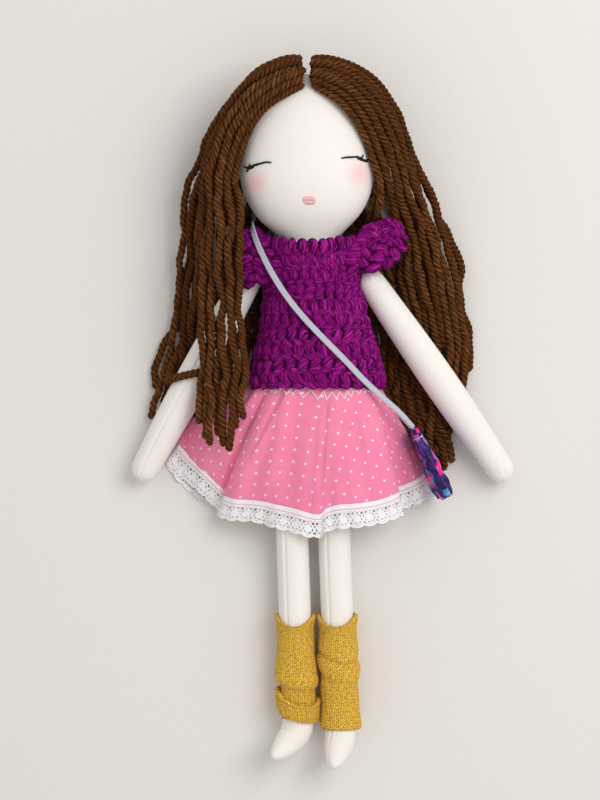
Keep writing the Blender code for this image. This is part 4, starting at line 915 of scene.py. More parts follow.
def crochet(surface, fabric, stitches, leans, seed, scale=1.0, between=0.5, reach=LOOP_REACH, fine=1.0):
    """Rows of loops: each loop's front half crosses its row, leaning, and its back half returns behind."""
    sides = round(STITCH_SIDES * fine)
    draw = np.random.default_rng(seed)
    for row, lean in enumerate(leans):
        steps = stitches * round(STITCH_STEPS * fine)
        along = np.linspace(0, stitches, steps + 1)
        stitch = np.minimum(along.astype(int), stitches - 1)
        wobble = draw.uniform(-1, 1, (4, stitches + 1))
        if fabric.closed:
            wobble[:, -1] = wobble[:, 0]
        lop, tall, fat, raised = (np.interp(along, np.arange(stitches + 1), w) for w in wobble)
        turns = 2 * np.pi * along / stitches
        lumps = (stitches * 3 + 1, stitches * 4 + 3, stitches * 7 + 2)
        lumpy = sum(np.sin(turns * n + draw.uniform(0, 6.3)) for n in lumps)
        phase = 2 * np.pi * along
        front = np.sin(phase)
        shift = (0.5 - abs(lean)) / 2 + 0.20 * lop
        u = (along + shift * np.cos(phase) + 0.08 * fat) / stitches * math.copysign(1, lean)
        sway = 0.06 * np.sin(turns * 3 + row) + 0.05 * raised
        v = (row + between + sway - (reach + 0.06 * tall) * np.cos(phase)) / len(leans)
        if not fabric.closed:
            u = (0.97 if lean < 0 else CAP_START) + (0.97 - CAP_START) * u
            v = v * CAP_END
        stands = np.where(front > 0, front, 0.45 * front) + 0.30 * raised
        path, out = fabric.at(u, v, (LOOP_DEPTH * stands - LOOP_SUNK) * scale)
        tangent = np.gradient(path, axis=0)
        tangent /= np.linalg.norm(tangent, axis=1)[:, None]
        across = np.cross(tangent, out)
        across /= np.linalg.norm(across, axis=1)[:, None]
        upwards = np.cross(across, tangent)
        length = lengths_along(path)
        around = np.linspace(0, 2 * np.pi, sides, endpoint=False)
        lobes = 0.80 + 0.20 * np.abs(np.cos(WOOL_PLIES / 2 * around))
        twists = round(length[-1] / WOOL_LAY)
        turn = around[None] - (2 * np.pi * twists * length / length[-1])[:, None]
        plump = (0.86 + 0.16 * front + 0.13 * fat + 0.035 * lumpy) * scale
        wide = (STITCH_WIDTH * plump)[:, None, None] * lobes[None, :, None] * np.cos(turn)[..., None]
        thick = (STITCH_THICKNESS * plump)[:, None, None] * lobes[None, :, None] * np.sin(turn)[..., None]
        rows = path[:, None] + across[:, None] * wide + upwards[:, None] * thick
        rows = rows.reshape(-1, 3)
        press(rows)
        places = np.meshgrid(length + row * 0.37, np.linspace(0, 1, sides + 1), indexing="ij")
        # painted light and shade: each loop is painted lighter on its front half and outward face, and darker
        # where it dips behind and on its sides
        lit = np.clip(0.55 + 0.75 * front, 0, 1)[:, None] * np.clip(0.62 + 0.55 * np.sin(turn), 0, 1)
        rows = rows.reshape(len(path), -1, 3)
        surface.add(rows, np.stack(places, 2), closed=True, ends=not fabric.closed, depth=lit)


strap_tree = KDTree(len(strap_line))
for k, point in enumerate(strap_line):
    strap_tree.insert(point, k)
strap_tree.balance()
strap_ways = np.gradient(strap_line, axis=0)
strap_ways /= np.linalg.norm(strap_ways, axis=1)[:, None]
TOP_MIDDLE_Z = 0.0295
strap_outs = strap_line * (0.25, 0, 1) - (0, 0, TOP_MIDDLE_Z)
strap_outs -= strap_ways * (strap_outs * strap_ways).sum(1)[:, None]
strap_outs /= np.linalg.norm(strap_outs, axis=1)[:, None]


def press(points):
    """Presses wool down under the strap, and flat where it lies on the floor."""
    for k, point in enumerate(points):
        _, near, away = strap_tree.find(point)
        if away < 0.0045:
            out = strap_outs[near]
            offset = point - strap_line[near]
            height = offset @ out
            beside = np.linalg.norm(offset - out * height)
            limit = -0.0008 + 0.0022 * max(0.0, (beside - 0.0019) / 0.0022)
            if height > limit:
                points[k] = point - out * (height - limit)
    points[:, 2] = np.maximum(points[:, 2], 0.0003)


def fuzz(surface, fabric, count, seed):
    """Loose fibres that stand off the wool, each a fine bent hair."""
    draw = np.random.default_rng(seed)
    for _ in range(count):
        u, v = draw.uniform(0.05, 0.95, 2)
        turn, reach, lift = draw.uniform(0, 2 * np.pi), draw.uniform(0.03, 0.08), draw.uniform(0.0006, 0.0026)
        t = np.linspace(0, 1, 5)
        aside, down = reach * 0.45 * np.cos(turn) * t, reach * 0.8 * np.sin(turn + t) * t
        path, _ = fabric.at(u + aside, v + down, lift * np.sin(np.pi * t) - 0.0004)
        path[:, 2] = np.maximum(path[:, 2], 0.0004)
        thread(surface, path, 0.00005 * (1.2 - t), 3)


def gap_shade_wall(surface, fabric):
    """A thin closed wall just under the stitches, seen between them, and coloured as painted shade."""
    columns = 97 if fabric.closed else 41
    u, v = np.meshgrid(np.linspace(0, 1, columns), np.linspace(0.03, 0.97, 24))
    if fabric.closed:
        u = u % 1.0
    else:
        u, v = CAP_START + 0.02 + (0.95 - CAP_START) * u, v * CAP_END
    outer, _ = fabric.at(u, v, np.full_like(u, -0.0024))
    inner, _ = fabric.at(u, v, np.full_like(u, -0.0034))
    wall = np.concatenate([outer, inner[::-1], outer[:1]])
    if fabric.closed:
        wall = wall[:, :-1]
    wall[..., 2] = np.maximum(wall[..., 2], 0.0006)
    cells = np.meshgrid(np.arange(wall.shape[0]) * 0.002, np.arange(columns) * 0.002, indexing="ij")
    surface.add(wall, np.stack(cells, 2), closed=fabric.closed, slot=1)


purple_wool = wool_finish(
    "purple roving wool", (0.070, 0.0003, 0.052), (0.235, 0.0015, 0.165), (0.50, 0.016, 0.34), WOOL_PLIES, 16
)
# painted shade: the wall under the stitches is a near black purple that stands for the shade between them
painted_gap_shade = Finish("painted shade between the stitches", (0.040, 0.002, 0.045), 1.0)
painted_gap_shade.bump(painted_gap_shade.noise(700, 3), 0.0008)
surface = Surface()
fabric = top_fabric()
crochet(surface, fabric, ROUND_STITCHES, ROUND_LEANS, 3)
crochet(surface, fabric, ROUND_STITCHES, BAR_LEANS, 5, BAR_SCALE, 0.98, BAR_REACH, 0.65)
gap_shade_wall(surface, fabric)
fuzz(surface, fabric, 500, 21)
top = surface.make("crocheted_top", purple_wool, painted_gap_shade.material)
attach(top, "torso")
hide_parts("crochet_top")
for side, word in ((RIGHT, "right"), (LEFT, "left")):
    surface = Surface()
    fabric = cap_fabric(side)
    crochet(surface, fabric, CAP_STITCHES, CAP_LEANS, 11 + side, 1.08)
    bar_leans = [-lean for lean in CAP_LEANS]
    crochet(surface, fabric, CAP_STITCHES, bar_leans, 17 + side, BAR_SCALE, 0.98, BAR_REACH, 0.65)
    gap_shade_wall(surface, fabric)
    fuzz(surface, fabric, 220, 24 + side)
    cap = surface.make(f"crocheted_cap_{word}", purple_wool, painted_gap_shade.material)
    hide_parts(f"sleeve_cap_{word}")
    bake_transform(cap)


# Skirt, its elastic and its lace
# Part of a flat ring of pink cotton with white pin dots, gathered on elastic with zigzag stitches of white
# thread. It falls over the hips in a few broad folds, and its hem has a gathered edging of white lace sewn
# on.

# round the hem from the right edge: pixel and height in millimetres at hem, half way down and waist
SKIRT_FRONT = (
    ((177, 447, 4.2), (203, 409, 10), (258, 384, 24)),
    ((190, 461, 6.5), (212, 420, 20), (260, 385, 31)),
    ((205, 475, 12), (222, 430, 28), (262, 386, 36)),
    ((218, 488, 14), (233, 439, 31), (265, 387, 39)),
    ((227, 497, 11), (243, 443, 30), (268, 388, 41)),
    ((223, 498, 17), (243, 446, 35), (271, 389, 43)),
    ((233, 502, 25), (252, 448, 40), (276, 390, 45)),
    ((247, 503, 26), (266, 449, 40), (283, 391, 47)),
    ((262, 504.5, 27), (277, 450, 43), (290, 392, 48)),
    ((277, 508, 31), (288, 451, 41), (297, 393, 49)),
    ((294, 512, 35), (302, 452.5, 43), (309, 395, 49)),
    ((306, 515.5, 36), (312, 454, 44), (318, 396, 50)),
    ((314, 517.5, 36), (318, 454.5, 44.6), (323, 396.5, 50.2)),
    ((321, 517, 36.2), (323, 454.5, 45.2), (327, 397, 50.3)),
    ((326, 512, 38), (328, 454, 46), (331, 397, 50.5)),
    ((337, 508.5, 40), (337, 453, 46.8), (337, 396.5, 50.5)),
    ((355, 507, 40), (350, 451, 46), (345, 395, 49.5)),
    ((376, 504, 36), (365, 448, 45), (354, 393, 48)),
    ((392, 499, 32), (379, 445, 42), (363, 391, 46)),
    ((399.5, 494.5, 26), (388, 442, 36), (369, 389, 43)),
    ((394, 491, 19), (386, 439, 31), (371, 388, 41)),
    ((405, 488, 15), (393, 438, 27), (373, 387, 38)),
    ((418, 482, 11), (401, 436, 20), (376, 386, 33)),
    ((427, 474, 6), (404, 431, 14), (378, 385, 28)),
    ((430, 466, 4.0), (404, 427, 7.5), (379, 384, 22)),
)
SKIRT_BACK = (
    ((424, 474, 1.2), (399, 431, 3), (372, 386, 12)),
    ((404, 490, 1.2), (380, 442, 2.6), (356, 388, 6)),
    ((374, 501, 2.0), (352, 447, 3), (339, 390, 4.6)),
    ((346, 507, 1.2), (336, 450, 3), (326, 391, 4.4)),
    ((316, 510, 2.2), (314, 451, 3), (314, 391, 4.4)),
    ((286, 507, 1.2), (292, 450, 3), (302, 390, 4.6)),
    ((254, 501, 2.0), (266, 446, 2.8), (288, 389, 5)),
    ((222, 489, 1.2), (240, 437, 2.6), (272, 387, 7)),
    ((192, 467, 1.2), (216, 421, 3), (262, 385, 14)),
)
# ends of each crease in pixels, how far it stands up, and how wide it is on its left and right
CREASES = (
    (((288, 391), (252, 459)), 0.0015, 0.0017, 0.0060),
    (((330.5, 403), (324, 493)), 0.0006, 0.0014, 0.0040),
    (((262, 380), (240, 412)), 0.0030, 0.0013, 0.0042),
    (((362, 398), (372, 488)), 0.0006, 0.0030, 0.0010),
)
SKIRT_DOWN = 64
SKIRT_ROUND = 540
TUCK_RADIUS = 0.0455
TUCK_Y = -0.0245
TUCK_MIDDLE = (0.0025, 0.0270)
TUCK_ROWS = 6
CLOTH_THICKNESS = 0.0005
DOT_PITCH = 0.0106
DOT_RADIUS = 0.00082
ZIGZAGS = 74
ZIGZAG_REACH = 1.6
LACE_WIDTH = 0.0158
LACE_DROP = 0.0136
LACE_SCALLOP = 0.0016
LACE_FINE = 2
LACE_STEP = 0.0080
FAN_MIDDLE = 0.0078
FAN_RADIUS = 0.0025


def ring_through(rows, count):
    """Stations round closed smooth curves through sets of points, spaced evenly round the first set."""
    sets = np.array(rows, float)
    n = len(sets)
    fine = []
    for k in range(n):
        a, b, c, d = (sets[(k + j) % n] for j in (-1, 0, 1, 2))
        for u in np.linspace(0, 1, 40, endpoint=False):
            fine.append(spline(a, b, c, d, u))
    fine = np.array(fine + [fine[0]])
    length = lengths_along(fine[:, 0])
    even = np.linspace(0, length[-1], count + 1)
    made = [[np.interp(even, length, fine[:, j, k]) for k in range(3)] for j in range(sets.shape[1])]
    return np.array(made).transpose(0, 2, 1), length[-1]


columns = [[seen(px, py, z * 0.001) for px, py, z in row] for row in SKIRT_FRONT + SKIRT_BACK]
(hem, middle, waist), hem_length = ring_through(columns, SKIRT_ROUND)
down = np.linspace(0, 1, SKIRT_DOWN + 1)[:, None, None]
cloth = waist * (1 - down) * (1 - 2 * down) + middle * 4 * down * (1 - down) + hem * down * (2 * down - 1)
ripple = np.random.default_rng(5)
for count, size in ((13, 0.0006), (29, 0.00022), (47, 0.0001)):
    turn, phase = np.linspace(0, 2 * np.pi * count, SKIRT_ROUND + 1), ripple.uniform(0, 6.28)
    front = (cloth[..., 2] > 0.006) * 1.0
    sway = np.sin(turn[None] + phase + 2.2 * down[..., 0] * math.sin(phase))
    cloth[..., 2] += size * sway * down[..., 0] ** 0.7 * front
cloth[:, -1] = cloth[:, 0]
for ends, rise, left, right in CREASES:
    a, b = (np.array(seen(*pixel, 0.045)[:2]) for pixel in ends)
    way = (b - a) / np.linalg.norm(b - a)
    offset = cloth[..., :2] - a
    run, aside = offset @ way / np.linalg.norm(b - a), offset @ np.array((-way[1], way[0]))
    fade = np.clip(run * 6 + 0.6, 0, 1) * np.clip((1 - run) * 4 + 0.4, 0, 1) * (cloth[..., 2] > 0.012)
    ridge = np.exp(-((aside / np.where(aside < 0, left, right)) ** 2))
    valley = np.exp(-((aside / (6 * min(left, right))) ** 2)) * (aside * (right - left) < 0)
    cloth[..., 2] += rise * fade * (ridge + 0.6 * (ridge - valley) * (valley > 0))
cloth[..., 2] = np.maximum(cloth[..., 2], 0.0009)

solid = solid_tree("skirt")
tuck = []
for x, y, z in waist:
    outwards = Vector((x - TUCK_MIDDLE[0], 0, z - TUCK_MIDDLE[1])).normalized()
    start = Vector((TUCK_MIDDLE[0], TUCK_Y, TUCK_MIDDLE[1])) + outwards * 0.12
    tuck.append(solid.ray_cast(start, -outwards)[0] or (x, TUCK_Y, z))
tuck = np.array([tuple(p) for p in tuck])
up = np.linspace(0, 1, TUCK_ROWS, endpoint=False)[:, None, None]
cloth = np.concatenate([tuck + (waist - tuck) * up, cloth])

radial = np.linalg.norm(np.diff(cloth, axis=0), axis=2)
reach = np.concatenate([np.zeros((1, SKIRT_ROUND + 1)), np.cumsum(radial, axis=0)]).mean(axis=1)
sector = hem_length / (TUCK_RADIUS + reach[-1])
angle = np.linspace(0, sector, SKIRT_ROUND + 1)[None]
radius = (TUCK_RADIUS + reach)[:, None]
flat = np.stack([radius * np.cos(angle), radius * np.sin(angle)], 2)

pink = Finish("pink pin dot cotton", (0.86, 0.17, 0.36), 0.9)
u, v, _ = pink.parts(pink.place("UV"))
threads_down = pink.noise(1.0, 2, pink.combined(u * 420, v * 3600))
threads_across = pink.noise(1.0, 2, pink.combined(u * 3600, v * 420))
weave = (threads_down + threads_across) * 0.5
dots = None
for shift in (0.0, DOT_PITCH / 2):
    du, dv = (u + shift).wrapped(DOT_PITCH), (v + shift).wrapped(DOT_PITCH)
    away = (du * du + dv * dv).power(0.5) + (weave - 0.5) * 0.0006
    dot = away.ramp(DOT_RADIUS * 1.12, DOT_RADIUS * 0.8)
    dots = dot if dots is None else dots + dot
tone = pink.mix(weave.ramp(0.35, 0.65), (0.85, 0.185, 0.345), (0.94, 0.275, 0.445))
tone = pink.mix(pink.noise(55, 3).ramp(0.3, 0.75) * 0.25, tone, (0.96, 0.34, 0.49))
tone = pink.mix(dots * 0.80, tone, (0.94, 0.82, 0.87))
pink.set({"Base Color": tone, "Sheen Weight": 0.15, "Sheen Roughness": 0.5})
pink.bump(weave, 0.00015, 0.5)

# the skirt and the lace are each a right and a left half
SEAM_X = -0.0022
from_seam = np.abs(hem[:, 0] - SEAM_X)
front_seam = int(np.argmin(from_seam + (hem[:, 2] < 0.02)))
back_seam = int(np.argmin(from_seam + (hem[:, 2] > 0.006)))


def half(grid, side, fine=1):
    """The columns of one half of the ring, in order, where a ring has its first column again at its end."""
    front, back = front_seam * fine, back_seam * fine
    if side == LEFT:
        return grid[:, front:back + 1]
    return np.concatenate([grid[:, back:], grid[:, 1:front + 1]], axis=1)


def wrapped_half(grid, side, length, fine=1):
    """The same for places in a pattern, which run on by length past the end of the ring."""
    onward = grid[:, 1:front_seam * fine + 1] + length
    if side == LEFT:
        return half(grid, side, fine)
    return np.concatenate([grid[:, back_seam * fine:], onward], axis=1)


def merge(piece, distance=0.00002):
    bm = bmesh.new()
    bm.from_mesh(piece.data)
    bmesh.ops.remove_doubles(bm, verts=bm.verts, dist=distance)
    bm.to_mesh(piece.data)
    bm.free()
    piece.data.update()


def face_outwards(piece):
    bm = bmesh.new()
    bm.from_mesh(piece.data)
    bmesh.ops.recalc_face_normals(bm, faces=bm.faces)
    bm.to_mesh(piece.data)
    bm.free()


cut_radius = TUCK_RADIUS + reach[-1]
for side, word in ((RIGHT, "right"), (LEFT, "left")):
    surface = Surface()
    surface.add(half(cloth, side), half(flat, side))
    skirt = surface.make(f"pin_dot_skirt_{word}", pink.material)
    merge(skirt)
    face_outwards(skirt)
    apply_modifier(skirt, "SOLIDIFY", thickness=CLOTH_THICKNESS, offset=-1.0)
    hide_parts("skirt")
    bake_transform(skirt)
    share = (half(cloth, side).shape[1] - 1) / SKIRT_ROUND
    cut_area = share * sector / 2 * (cut_radius**2 - TUCK_RADIUS**2)
    turn = share * sector / 2

# the elastic inside the waist, and the white zigzag stitches that hold it
elastic = smoothed("ribbed_elastic", "waist_elastic", 1)
ribbed = Finish("woven elastic", (0.80, 0.78, 0.76), 0.8)
rib = (ribbed.parts(ribbed.place())[1] * (2 * math.pi / 0.0011)).wave()
# painted shade and highlight: the elastic is darker in the grooves between its ribs and lighter on their
# crests
ribbed.set({"Base Color": ribbed.mix(rib.ramp(-1, 1), (0.62, 0.60, 0.58), (0.84, 0.82, 0.80))})
ribbed.bump(rib, 0.0003)
elastic.data.materials.append(ribbed.material)
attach(elastic, "torso")
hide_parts("waist_elastic")
white_thread = Finish("white sewing thread", (0.90, 0.88, 0.89), 0.6)
draw = np.random.default_rng(8)
corners = []
for k in range(ZIGZAGS):
    column = int((k + 0.5 + draw.uniform(-0.3, 0.3)) / ZIGZAGS * SKIRT_ROUND)
    rows = TUCK_ROWS + (-ZIGZAG_REACH if k % 2 else ZIGZAG_REACH) + draw.uniform(-0.5, 0.5)
    upper = cloth[int(rows), column]
    lower = cloth[int(rows) + 1, column]
    outwards = Vector(upper - (TUCK_MIDDLE[0], upper[1], TUCK_MIDDLE[1])).normalized()
    corners.append(upper + (lower - upper) * (rows % 1) + np.array(outwards) * 0.0004)
surface = Surface()
for a, b in zip(corners, corners[1:] + corners[:1]):
    across = [a + (b - a) * t for t in np.linspace(-0.04, 1.04, 5)]
    for point in across:
        point[2] = max(point[2], 0.0005)
    thread(surface, across, 0.00030, 6)
zigzag = surface.make("zigzag_stitches", white_thread.material)
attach(zigzag, "torso")
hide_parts("waist_elastic")

tips = hem - middle
tips /= np.linalg.norm(tips, axis=1)[:, None]
along = np.linspace(0, hem_length, SKIRT_ROUND + 1)
fine = np.linspace(0, SKIRT_ROUND, SKIRT_ROUND * LACE_FINE + 1)
lace_hem = np.stack([np.interp(fine, np.arange(SKIRT_ROUND + 1), cloth[-1, :, k]) for k in range(3)], 1)
lace_tip = np.stack([np.interp(fine, np.arange(SKIRT_ROUND + 1), tips[:, k]) for k in range(3)], 1)
along = np.interp(fine, np.arange(SKIRT_ROUND + 1), along)
scallops = round(hem_length / LACE_STEP)
bow = np.abs(np.sin(np.pi * scallops * along / hem_length))
drop = LACE_DROP - LACE_SCALLOP + LACE_SCALLOP * bow**0.6
lace_rows = np.linspace(-0.0022, 1.0, 15)
rows, places = [], []
for row in lace_rows:
    reach_out = row * drop if row > 0 else np.full_like(drop, row)
    gather = 0.0009 * max(row, 0) * np.sin(2 * np.pi * along / 0.0135 + 1.3 * np.sin(along * 90))
    edge = lace_hem + lace_tip * reach_out[:, None]
    edge[:, 2] += gather + 0.0004
    edge[:, 2] = np.maximum(edge[:, 2], 0.0008 + 0.0004 * (gather > 0))
    rows.append(edge)
    places.append(np.stack([along, np.broadcast_to(reach_out, along.shape)], 1))
lace_cloth = Finish("white cotton lace", (0.88, 0.86, 0.88), 0.85)
u, v, _ = lace_cloth.parts(lace_cloth.place("UV"))
step = hem_length / scallops
swing = (u * (math.pi / step)).wave().size().power(0.6) * LACE_SCALLOP
edge_line = v - (LACE_DROP - LACE_SCALLOP) - swing
rim = edge_line.ramp(-0.0016, -0.0013)
fan_u, fan_v = (u + step / 2).wrapped(step), v - FAN_MIDDLE
from_fan = (fan_u * fan_u + fan_v * fan_v).power(0.5)
fan = from_fan.ramp(FAN_RADIUS + 0.0002, FAN_RADIUS - 0.0002)
arch = (from_fan - FAN_RADIUS - 0.0011).size().ramp(0.00045, 0.00030)


def holes(across, down, radius):
    """A row of round holes that meets the next one half a step along."""
    made = None
    for offset in (0.0, 0.5):
        du = (u + across * offset).wrapped(across)
        dv = (v + down * 2 * offset).wrapped(2 * down)
        hole = (du * du + dv * dv).power(0.5).ramp(radius * 1.12, radius * 0.88)
        made = hole if made is None else made + hole
    return made


net = holes(0.0027, 0.0021, 0.00092) * v.ramp(0.0026, 0.0028)
open_net = net * (1 - rim) * (1 - fan) * (1 - arch)
band_gap = (v - 0.0012).size().ramp(0.00050, 0.00035) * holes(0.0015, 0.01, 0.0016)
thread_tone = lace_cloth.noise(1.0, 3, lace_cloth.combined(u * 2600, v * 2600))
tone = lace_cloth.mix(thread_tone.ramp(0.3, 0.7), (0.90, 0.87, 0.90), (0.98, 0.97, 0.98))
tone = lace_cloth.mix(band_gap * 0.75, tone, (0.88, 0.30, 0.47))
lace_cloth.set({"Base Color": tone, "Alpha": 1 - open_net})
lace_cloth.bump(thread_tone, 0.0005, 0.8)
for side, word in ((RIGHT, "right"), (LEFT, "left")):
    surface = Surface()
    pattern = wrapped_half(np.array(places), side, (hem_length, 0), LACE_FINE)
    surface.add(half(np.array(rows), side, LACE_FINE), pattern)
    lace = surface.make(f"lace_edging_{word}", lace_cloth.material)
    merge(lace)
    face_outwards(lace)
    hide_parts("lace_trim")
    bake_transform(lace)
    share = (half(cloth, side).shape[1] - 1) / SKIRT_ROUND
    flat_size = (LACE_WIDTH, round(hem_length * share, 3))


# Leg warmers
# Tubes of fine mustard knit, pulled on over the feet. Each rolls over at its top edge and slouches in a
# soft fold. The right one is turned up once at the bottom into a cuff, and the left one ends in a loose
# edge.

WARMER_COLUMNS = 31
WARMER_COURSES = 39
KNIT_SLANT = 1.6
GRID_ROUND = 260
GRID_DOWN = 240
RIM_DIP = 0.0074
# how far the knit reaches past the end of each solid
WARMER_DROP = {"right": 0.0, "left": 0.0062}
# down each warmer: share of its length, and how far the knit stands out there, in millimetres
WARMER_FOLDS = {
    "right": ((0.0, 0.9), (0.04, 0.6), (0.12, -0.3), (0.36, 0.0), (0.50, 0.8), (0.58, 2.0), (0.63, 1.4),
              (0.665, -0.6), (0.71, -1.1), (0.80, -1.0), (1.0, -0.9)),
    "left": ((0.0, 0.9), (0.04, 0.6), (0.12, -0.2), (0.24, 0.3), (0.31, 0.6), (0.345, -0.7), (0.38, 0.9),
             (0.44, 1.6), (0.49, 0.9), (0.525, -0.4), (0.60, -0.3), (0.80, 0.3), (0.96, 1.0), (1.0, 0.9)),
}
# how much lower each fold lies in the middle of the front, and on the doll's left of it, in millimetres
WARMER_SAG = {"right": (3.4, 1.8), "left": (5.0, 2.4)}
CUFF_TOP = 0.735
CUFF_STANDS = 0.0018
CUFF_SLOPE = 0.0034
CUFF_SAG = 0.0072


def warmer_fabric(node):
    """The outer face of a leg warmer's solid, continued straight to both ends."""
    solid, (low, high) = solid_tree(node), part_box(node)
    end = low[1] - WARMER_DROP[node.split("_")[-1]]
    turns = np.linspace(-math.pi, math.pi, 181)
    grid = []
    for down in np.linspace(0, 1, 60):
        y = high[1] - down * (high[1] - end)
        ring = []
        for turn in turns:
            inside = min(high[1] - 0.0022, max(low[1] + 0.0022, y))
            middle = Vector(((low[0] + high[0]) / 2, inside, (low[2] + high[2]) / 2))
            outwards = Vector((math.sin(turn), 0, math.cos(turn)))
            hit = solid.ray_cast(middle + outwards * 0.06, -outwards)[0]
            ring.append((hit.x, y, hit.z))
        grid.append(evenly(np.array(ring), 181))
    return Fabric(grid, True)


def knit_sheet(surface, fabric, first, last, rises, shift, turned=False):
    """A closed wall of knit between two shares down the warmer; rises(u, v) lifts its outer face."""
    rows = round(GRID_DOWN * (last - first))
    u, down = np.meshgrid(np.linspace(0, 1, GRID_ROUND + 1), np.linspace(0, 1, rows + 1))
    v = first + (last - first) * down
    uneven = 0.00025 * np.sin(6 * np.pi * u + 9 * v) * np.sin(5 * np.pi * v + 2)
    edge = np.minimum(down, 1 - down) * (last - first) * rows / GRID_DOWN * 0.067
    roll = -0.0009 * np.exp(-((edge / 0.0006) ** 2))
    ragged = 0.00022 * np.sin(2 * np.pi * WARMER_COLUMNS * u) * np.exp(-((edge / 0.0012) ** 2))
    outer, _ = fabric.at(u, v + ragged * 12, rises(u, v) + uneven + roll + ragged)
    inner, _ = fabric.at(u[::20], v[::20], rises(u[::20], v[::20]) * 0.7 - 0.0021)
    for wall, place in ((outer, u), (inner, u[::20])):
        wall[:, -1] = wall[:, 0]
        wall[..., 1] -= shift(place, v if wall is outer else v[::20])
        wall[..., 2] = np.maximum(wall[..., 2], 0.0004 if wall is outer else 0.0009)
    walls = np.concatenate([outer, inner[::-1], outer[:1]])[:, :-1]
    uv = np.stack([u * WARMER_COLUMNS, v * WARMER_COURSES * (-1 if turned else 1)], 2)
    surface.add(walls, np.concatenate([uv, uv[::20][::-1], uv[:1]]), closed=True)


mustard = Finish("mustard knit", (0.66, 0.38, 0.055), 0.92)
u, v, _ = mustard.parts(mustard.place("UV"))
fluff = mustard.noise(1.0, 2, mustard.combined(u * 2.3, v * 0.9))
uneven = mustard.noise(1.0, 1, mustard.combined(u * 0.6, v * 0.6, 3.0))
# stocking stitch: columns of V shapes, each leg of a V a small slanting lump
across = (u + (uneven - 0.5) * 0.5).wrapped(1.0)
lump = ((v + uneven * 0.8 + across * KNIT_SLANT) * math.pi).wave().size()
leg = (across * (2 * math.pi)).wave()
height = lump.power(0.8) * leg.power(0.6)
specks = mustard.noise(1.0, 1, mustard.combined(u * 1.3, v * 1.1))
# painted shade darkens the knit between the raised lumps of each stitch, and random specks vary its tone too;
# the lighter fluff on the raised lumps is a painted highlight
shade = (height + (specks - 0.5) * 1.3).ramp(-0.05, 0.65)
tone = mustard.mix(shade, (0.35, 0.125, 0.003), (1.0, 0.62, 0.075))
tone = mustard.mix(fluff.ramp(0.45, 0.75) * 0.6 * height, tone, (0.98, 0.68, 0.20))
mustard.set({"Base Color": tone, "Sheen Weight": 0.05, "Sheen Tint": (0.9, 0.6, 0.12, 1)})
mustard.bump(height, 0.0007, 0.9)


def dip(u, share, reach):
    """How far the knit hangs lower in the middle of the front near an edge, fading over reach."""
    front = np.clip(np.cos(2 * np.pi * (u - 0.5)), 0, 1)
    return RIM_DIP * front**1.5 * np.exp(-share / reach)


for word in ("right", "left"):
    fabric = warmer_fabric(f"leg_warmer_{word}")
    sag, lean = WARMER_SAG[word]
    profile = curve_through([(a, b * 0.05, 0) for a, b in WARMER_FOLDS[word]], 300)

    def folded(u, v):
        front, side = np.cos(2 * np.pi * (u - 0.5)), np.sin(2 * np.pi * (u - 0.5))
        slip = (sag * np.clip(front, -0.2, 1) + lean * side) / 67 * np.sin(np.pi * v) ** 0.35
        return np.interp(np.clip(v - slip, 0, 1), profile[:, 0], profile[:, 1] / 0.05) * 0.001 - 0.0006

    surface = Surface()
    knit_sheet(surface, fabric, 0.0, 0.985, folded, lambda u, v: dip(u, v, 0.10))
    if word == "right":
        def cuff_shift(u, v):
            front, side = np.cos(2 * np.pi * (u - 0.5)), np.sin(2 * np.pi * (u - 0.5))
            top = np.clip((1 - v) / (1 - CUFF_TOP), 0, 1)
            above = CUFF_SLOPE * side + CUFF_SAG * np.clip(front, 0, 1)
            below = 0.0028 * np.clip(front, 0, 1) + 0.0022 * side - 0.0028
            return above * top + below * (1 - top)

        def cuff_rise(u, v):
            rim = np.exp(-(((v - CUFF_TOP - 0.018) / 0.018) ** 2))
            rim -= 0.5 * np.exp(-(((v - CUFF_TOP - 0.06) / 0.02) ** 2))
            return CUFF_STANDS * np.ones_like(v) + 0.0011 * rim - 0.0004

        knit_sheet(surface, fabric, CUFF_TOP, 0.995, cuff_rise, cuff_shift, turned=True)
    warmer = surface.make(f"knitted_leg_warmer_{word}", mustard.material)
    merge(warmer, 0.000001)
    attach(warmer, f"warmer_{word}")
    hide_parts(f"leg_warmer_{word}")


# Strap
# A flat, finely ribbed cord of pale lilac grey. It runs from the bag over the front, round the neck and
# down the back to the bag again, and both ends are sewn inside the bag's mouth.

STRAP_RIBS = 5
STRAP_SIDES = 30
surface = Surface()
around = np.linspace(0, 2 * np.pi, STRAP_SIDES, endpoint=False)
wide = STRAP_WIDTH / 2 * np.sign(np.cos(around)) * np.abs(np.cos(around)) ** 0.7
ribs = 1 + 0.16 * np.cos(2 * np.pi * STRAP_RIBS * wide / STRAP_WIDTH)
thick = STRAP_THICKNESS / 2 * np.sign(np.sin(around)) * np.abs(np.sin(around)) ** 0.5 * ribs
strap_across = np.cross(strap_ways, strap_outs)
strap_across /= np.linalg.norm(strap_across, axis=1)[:, None]
rows = strap_line[:, None] + strap_across[:, None] * wide[None, :, None]
rows -= strap_outs[:, None] * thick[None, :, None]
rows[..., 2] = np.maximum(rows[..., 2], 0.0003)
strap_length = np.linalg.norm(np.diff(strap_line, axis=0), axis=1).sum()
lengthways = np.linspace(0, strap_length, len(strap_line))
u, v = np.meshgrid(lengthways, np.linspace(0, 1, STRAP_SIDES + 1), indexing="ij")
surface.add(rows, np.stack([u, v], 2), closed=True, ends=True)
cord = Finish("lilac grey ribbed cord", (0.52, 0.52, 0.60), 0.55)
u, v, _ = cord.parts(cord.place("UV"))
ribbing = (u * (2 * math.pi / 0.0011) + (v * 60).wave() * 0.8).wave()
